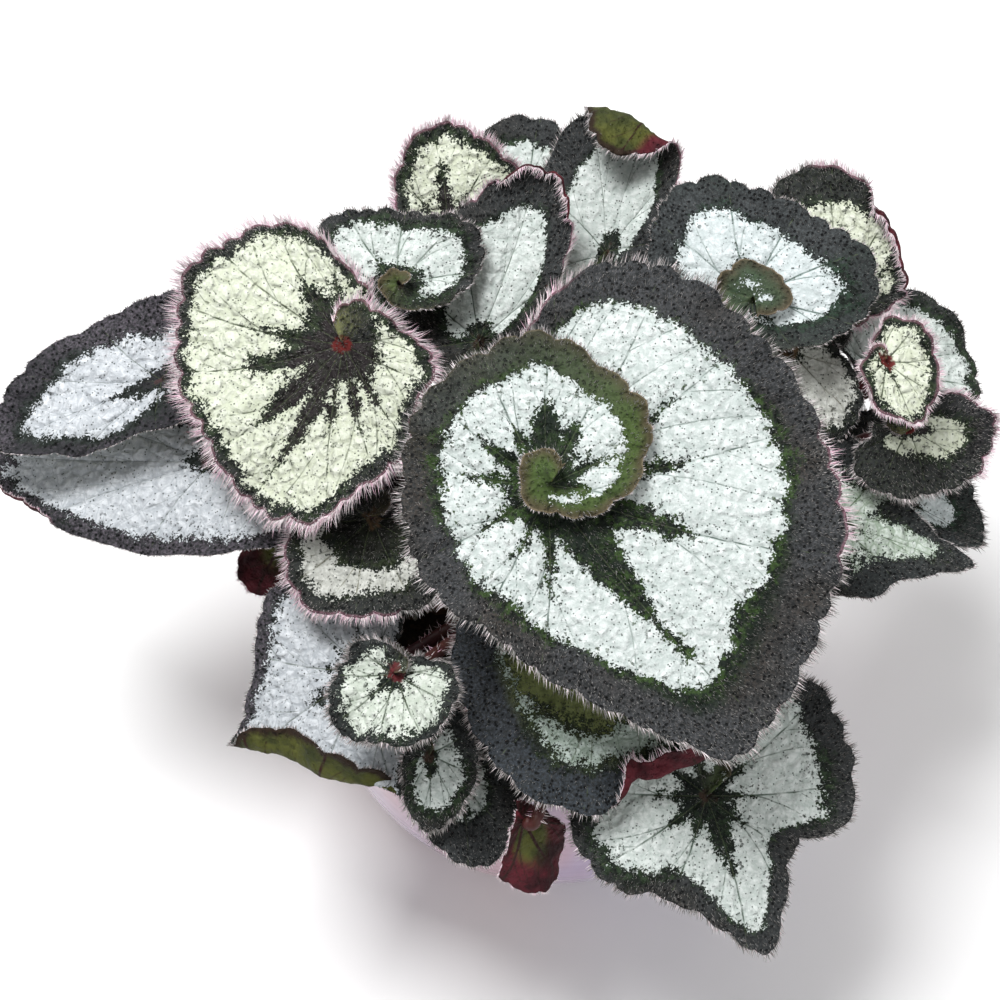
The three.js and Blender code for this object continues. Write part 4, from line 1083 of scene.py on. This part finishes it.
def paint_blade(tones):
    """The paint function of a blade, in the tones of one finish."""

    def paint(start):
        labels = ("silver", "margin", "vein", "veinlet", "coil", "hub", "flush", "under")
        silver, margin, vein, veinlet, coil, hub, flush, under = map(start.attribute, labels)

        patches = start.noise(26, 2)
        jagged = (start.noise(130, 3, 0.6) - 0.5) * 8 + (start.noise(480, 3, 0.65) - 0.5) * 6
        speckled = (start.noise(1500, 2, 0.6) - 0.5) * 8
        field = silver + (jagged + speckled) * tones["ragged"]
        sprinkled = start.noise(640, 2, 0.5).rise(0.60, 0.65) * field.rise(7, 0)
        band = field.rise(-0.2, 0.25) * (1 - sprinkled)
        net = start.cells(200, "DISTANCE_TO_EDGE", warp=0.004)
        # Painted shade: where the fine folds dip, the band goes over to the shade tone; a broad mottle also
        # varies it at random.
        folds = start.noise(420, 4, 0.65).rise(0.3, 0.72)
        bright = (folds * 0.8 + start.noise(60, 2) * 0.35).blend(tones["shade"], tones["silver"])
        # Painted shade in the creases: the band darkens to the shade tone along the walls of the cells,
        # where the cushions dip.
        bright = (net.rise(0.07, 0.01) * tones["ragged"] * 0.4).blend(bright, tones["shade"])
        dots = start.cells(720).rise(0.25, 0.13) * start.noise(260, 1).rise(0.34, 0.44)
        bright = (dots * 0.85).blend(bright, (0.02, 0.03, 0.025))
        lines = vein.rise(0.5, 0.12).most(veinlet.rise(0.36, 0.1) * 0.8)
        lines = lines * (0.6 + start.noise(150, 2).rise(0.35, 0.6) * 0.4)
        bright = lines.blend(bright, tones["line"])

        in_rim = margin.rise(20, 12)
        pits = start.cells(640).rise(0.38, 0.18)
        furred = start.noise(1100, 3, 0.7).rise(0.35, 0.7)
        rim = patches.rise(0.45, 0.62).blend(tones["rim"], tones["worn"])
        rim = coil.blend(rim, tones["curl"])
        rim = (margin.rise(5, 0.5) * coil * 0.8).blend(rim, (0.095, 0.066, 0.042))
        rim = (furred * 0.8).most(coil * 0.85).blend((0.026, 0.029, 0.030), rim)
        rim = (pits * (1 - coil * 0.75)).blend(rim, (0.006, 0.007, 0.008))
        rays = (start.noise(330, 3, 0.6).rise(0.45, 0.7) * 0.4).blend(tones["star"], tones["green"])
        dark = in_rim.blend(rays, rim)
        fading = (field * -1 - patches.rise(0.42, 0.6) * 4).rise(2.2, -0.8)
        leafy = start.noise(380, 3, 0.65).rise(0.43, 0.62).blend((0.010, 0.016, 0.011), tones["green"])
        dark = (fading * (0.9 - coil * 0.5)).blend(dark, leafy)
        dark = (vein.rise(0.35, 0.1) * 0.5).blend(dark, (0.12, 0.15, 0.08))
        dark = (margin.rise(0.6, 0.15) * coil * 0.7).blend(dark, (0.22, 0.18, 0.12))
        dark = (margin.rise(1.2, 0.3) * flush * 0.6).blend(dark, (0.30, 0.16, 0.20))
        top = band.blend(dark, bright)
        spot = hub + (start.noise(300, 2) - 0.5) * 9
        spot = spot.rise(tones["core"], tones["core"] - 1.6) * (1 - coil)
        top = spot.blend(top, tones["heart"])

        mottle = start.noise(120, 3).rise(0.35, 0.65)
        olive = mottle.blend((0.105, 0.112, 0.026), (0.050, 0.060, 0.018))
        wine = mottle.blend((0.120, 0.018, 0.028), (0.040, 0.007, 0.011))
        ragged = margin + jagged * 0.7
        below = ragged.rise(4, 1).blend(olive, (0.034, 0.020, 0.012))
        below = (ragged.rise(14, 7) * flush).blend(below, wine)
        below = vein.rise(0.7, 0.2).blend(below, (0.040, 0.012, 0.010))
        below = (veinlet.rise(0.5, 0.15) * 0.6).blend(below, (0.034, 0.012, 0.008))

        cushions = net.rise(0.0, 0.35)
        normal = start.bump(cushions, tones["relief"], 0.8)
        normal = start.bump(folds, 0.00035, 0.8, normal)
        normal = start.bump((1 - pits) * (1 - band), 0.0005, 0.8, normal)
        return {
            "Base Color": under.rise(0.45, 0.55).blend(top, below),
            "Roughness": 0.66 - band * 0.04 + furred * 0.1,
            "Normal": normal,
        }

    return paint


blade_materials = {
    name: material_of(f"blade_{name}", paint_blade(tones), Specular_IOR_Level=0.35)
    for name, tones in FINISHES.items()
}
sheets = {}
for order, (name, leaf) in enumerate(LEAVES.items()):
    sheets[name] = sheet_of(leaf, BLADE_SEED + 7 * order)
    surface, normal, outward, known = sheets[name]
    blade = blade_body(f"blade_{name}", surface, normal, known)
    dress(blade, blade_materials[leaf["finish"]], "blade", f"leaf_{name}_blade")


# ---- Hairs ----
# The plant bristles with fine, stiff hairs: a fringe along each margin, short fur that lies outwards on
# the dark parts of the blades, and longer, pink hairs on the stalks. Each hair is a thin spine.

HAIR_WIDTH = 0.36
STALK_HAIRS = 150
STALK_HAIR_LENGTHS = (1.4, 3.0)
HAIR_SEED = 500


def hair_tree():
    """Stands a tapering hair on each point, along its `grow` direction and of its `span`."""
    tree, given, result = tree_of("bristling_hairs", {"Width": "Float", "Material": "Material"})
    start = given["Geometry"]
    spine = start.node(
        "GeometryNodeMeshCone", {"fill_type": "NGON"},
        {"Vertices": 3, "Side Segments": 1, "Fill Segments": 1,
         "Radius Top": 0.0, "Radius Bottom": 0.5, "Depth": 1.0},
    )
    grow, span = (
        start.node("GeometryNodeInputNamedAttribute", {"data_type": kind}, {"Name": label})
        for label, kind in (("grow", "FLOAT_VECTOR"), ("span", "FLOAT"))
    )
    aimed = start.node("FunctionNodeAlignRotationToVector", {"axis": "Z"}, {"Vector": grow})
    spin = start.node(
        "FunctionNodeRandomValue", {"data_type": "FLOAT_VECTOR"},
        {"Min": (0, 0, 0), "Max": (0, 0, 6.28), "Seed": 5},
    )
    turned = start.node(
        "FunctionNodeRotateRotation", {"rotation_space": "LOCAL"},
        {"Rotation": aimed, "Rotate By": spin},
    )
    width = given["Width"]
    size = start.node("ShaderNodeCombineXYZ", sockets={"X": width, "Y": width, "Z": span})
    spines = stood_on(start, spine, turned, size, given["Material"])
    tree.links.new(spines.output, result.inputs[0])
    return tree


def unit(vectors):
    return vectors / (np.linalg.norm(vectors, axis=-1, keepdims=True) + 1e-9)


def fringe(leaf, sheet, random):
    """Roots, directions, lengths and tints of the hairs along the margin."""
    surface, normal, outward, known = sheet
    edge = surface[-1]
    run = np.concatenate([[0], np.cumsum(np.linalg.norm(np.diff(edge, axis=0), axis=1))])
    count = int(run[-1] / leaf["fringe"])
    place = np.interp(np.sort(random.uniform(0, run[-1], count)), run, np.arange(len(run)))
    low = np.minimum(place.astype(int), len(run) - 2)
    part = place - low

    def at_root(field):
        share = part if field.ndim == 2 else part[:, None]
        return field[-1][low] * (1 - share) + field[-1][low + 1] * share

    lean = random.normal(0.15, 0.4, (count, 1))
    grow = unit(at_root(outward) + at_root(normal) * lean + random.normal(0, 0.17, (count, 3)))
    flush = at_root(known["flush"])
    span = leaf["hairs"] * random.uniform(0.5, 1.1, count)
    span = span * (1 - 0.7 * at_root(known["coil"])) * (1 + 0.3 * flush)
    tint = random.uniform(0.15, 0.75, count) * (1 - flush) + random.uniform(0.55, 0.95, count) * flush
    return at_root(surface), grow, span, tint


def fur(leaf, sheet, random):
    """Roots, directions, lengths and tints of the short hairs on the dark parts of the blade."""
    surface, normal, outward, known = sheet
    steps = (np.gradient(surface, axis=axis) for axis in (0, 1))
    area = np.linalg.norm(np.cross(*steps), axis=-1)
    wanted = (area * np.clip(-known["silver"] / 3, 0.02, 1) * (1 - 0.5 * known["coil"])).ravel()
    count = int(wanted.sum() * leaf["down"])
    chosen = random.choice(len(wanted), count, p=wanted / wanted.sum())
    jitter = random.uniform(-0.5, 0.5, (count, 3))
    root_normal = normal.reshape(-1, 3)[chosen]
    aside = unit(np.cross(root_normal, jitter)) * random.uniform(0, 0.8, (count, 1))
    root = surface.reshape(-1, 3)[chosen] + aside
    lying = root_normal * 0.5 + outward.reshape(-1, 3)[chosen] * 0.8
    grow = unit(lying + random.normal(0, 0.3, (count, 3)))
    span = min(1.5, 0.62 * leaf["hairs"]) * random.uniform(0.5, 1.1, count)
    near_edge = np.exp(-known["margin"].ravel()[chosen] / 3)
    tint = random.uniform(0.0, 0.38, count) + near_edge * (0.25 + 0.3 * known["flush"].ravel()[chosen])
    return root, grow, span, tint


def stalk_hairs(leaf, random):
    """Roots, directions, lengths and tints of the hairs on the stalk, but not at its two ends."""
    path = stalk_path(leaf)[:-2]
    radii = stalk_radii(len(path))
    step = random.uniform(8, len(path) - 6.01, STALK_HAIRS)
    low = step.astype(int)
    part = (step - low)[:, None]
    middle = path[low] * (1 - part) + path[low + 1] * part
    along = unit(path[low + 1] - path[low])
    out = unit(np.cross(along, random.normal(size=(STALK_HAIRS, 3))))
    root = middle + out * (radii[low] * 0.97)[:, None]
    grow = unit(out + along * random.normal(0, 0.3, (STALK_HAIRS, 1)))
    span = random.uniform(*STALK_HAIR_LENGTHS, STALK_HAIRS)
    return root, grow, span, random.uniform(0.6, 1.0, STALK_HAIRS)


def paint_hair(start):
    tint = start.attribute("tint")
    colour = tint.rise(0.0, 0.5).blend((0.040, 0.037, 0.034), (0.30, 0.29, 0.28))
    colour = tint.rise(0.45, 0.75).blend(colour, (0.80, 0.72, 0.74))
    colour = tint.rise(0.75, 1.0).blend(colour, (0.78, 0.50, 0.63))
    return {"Base Color": colour, "Roughness": 0.42 + tint * 0.1}


hair_material = material_of(
    "pale_hairs", paint_hair, Subsurface_Weight=0.1, Subsurface_Radius=(0.001, 0.0006, 0.0006)
)
hairs = hair_tree()
for order, (name, leaf) in enumerate(LEAVES.items()):
    random = np.random.default_rng(HAIR_SEED + order)
    sheet = sheets[name]
    kinds = [fringe(leaf, sheet, random), fur(leaf, sheet, random), stalk_hairs(leaf, random)]
    roots, grow, span, tint = (np.concatenate(parts) for parts in zip(*kinds))
    carrier = made(f"roots_{name}", roots, [])
    for label, values in (("grow", grow), ("span", span * MM), ("tint", tint)):
        mark(carrier, label, values)
    values = {"Width": HAIR_WIDTH * MM, "Material": hair_material}
    bristles = grown(f"hairs_{name}", carrier, hairs, values)
    bpy.data.objects.remove(carrier)
    dress(bristles, hair_material, "blade")


# ---- Studio ----
# A plain white table under broad, soft lamps: a strong one high over the plant on its left, and
# weaker ones in front on the right and behind.

TABLE_HALF = 4000
LAMP_AIM = Vector((0, 0, 0.15))


def paint_table(start):
    return {"Base Color": start.noise(3, 1).blend((0.90, 0.90, 0.90), (0.94, 0.94, 0.94))}


corners = [(x * TABLE_HALF, y * TABLE_HALF, 0) for x, y in ((-1, -1), (1, -1), (1, 1), (-1, 1))]
table = made("table", corners, [(0, 1, 2, 3)])
table.data.materials.append(material_of("white_table", paint_table, Roughness=0.9))


def lamp(name, place, power, size):
    light = bpy.data.lights.new(name, "AREA")
    light.energy = power
    light.size = size
    holder = bpy.data.objects.new(name, light)
    holder.location = place
    holder.rotation_euler = (LAMP_AIM - Vector(place)).to_track_quat("-Z", "Y").to_euler()
    bpy.context.scene.collection.objects.link(holder)


lamp("key_lamp", (-0.4, 0.2, 1.7), 21, 0.55)
lamp("fill_lamp", (1.0, -1.0, 1.0), 5.5, 1.2)
lamp("rear_lamp", (0.3, 1.2, 1.2), 4, 0.8)
world = bpy.data.worlds.new("studio")
world.use_nodes = True
world.node_tree.nodes["Background"].inputs["Color"].default_value = (1, 1, 1, 1)
world.node_tree.nodes["Background"].inputs["Strength"].default_value = 0.36
bpy.context.scene.world = world
bpy.context.scene.view_settings.view_transform = "Standard"
bpy.context.scene.view_settings.look = "Medium High Contrast"
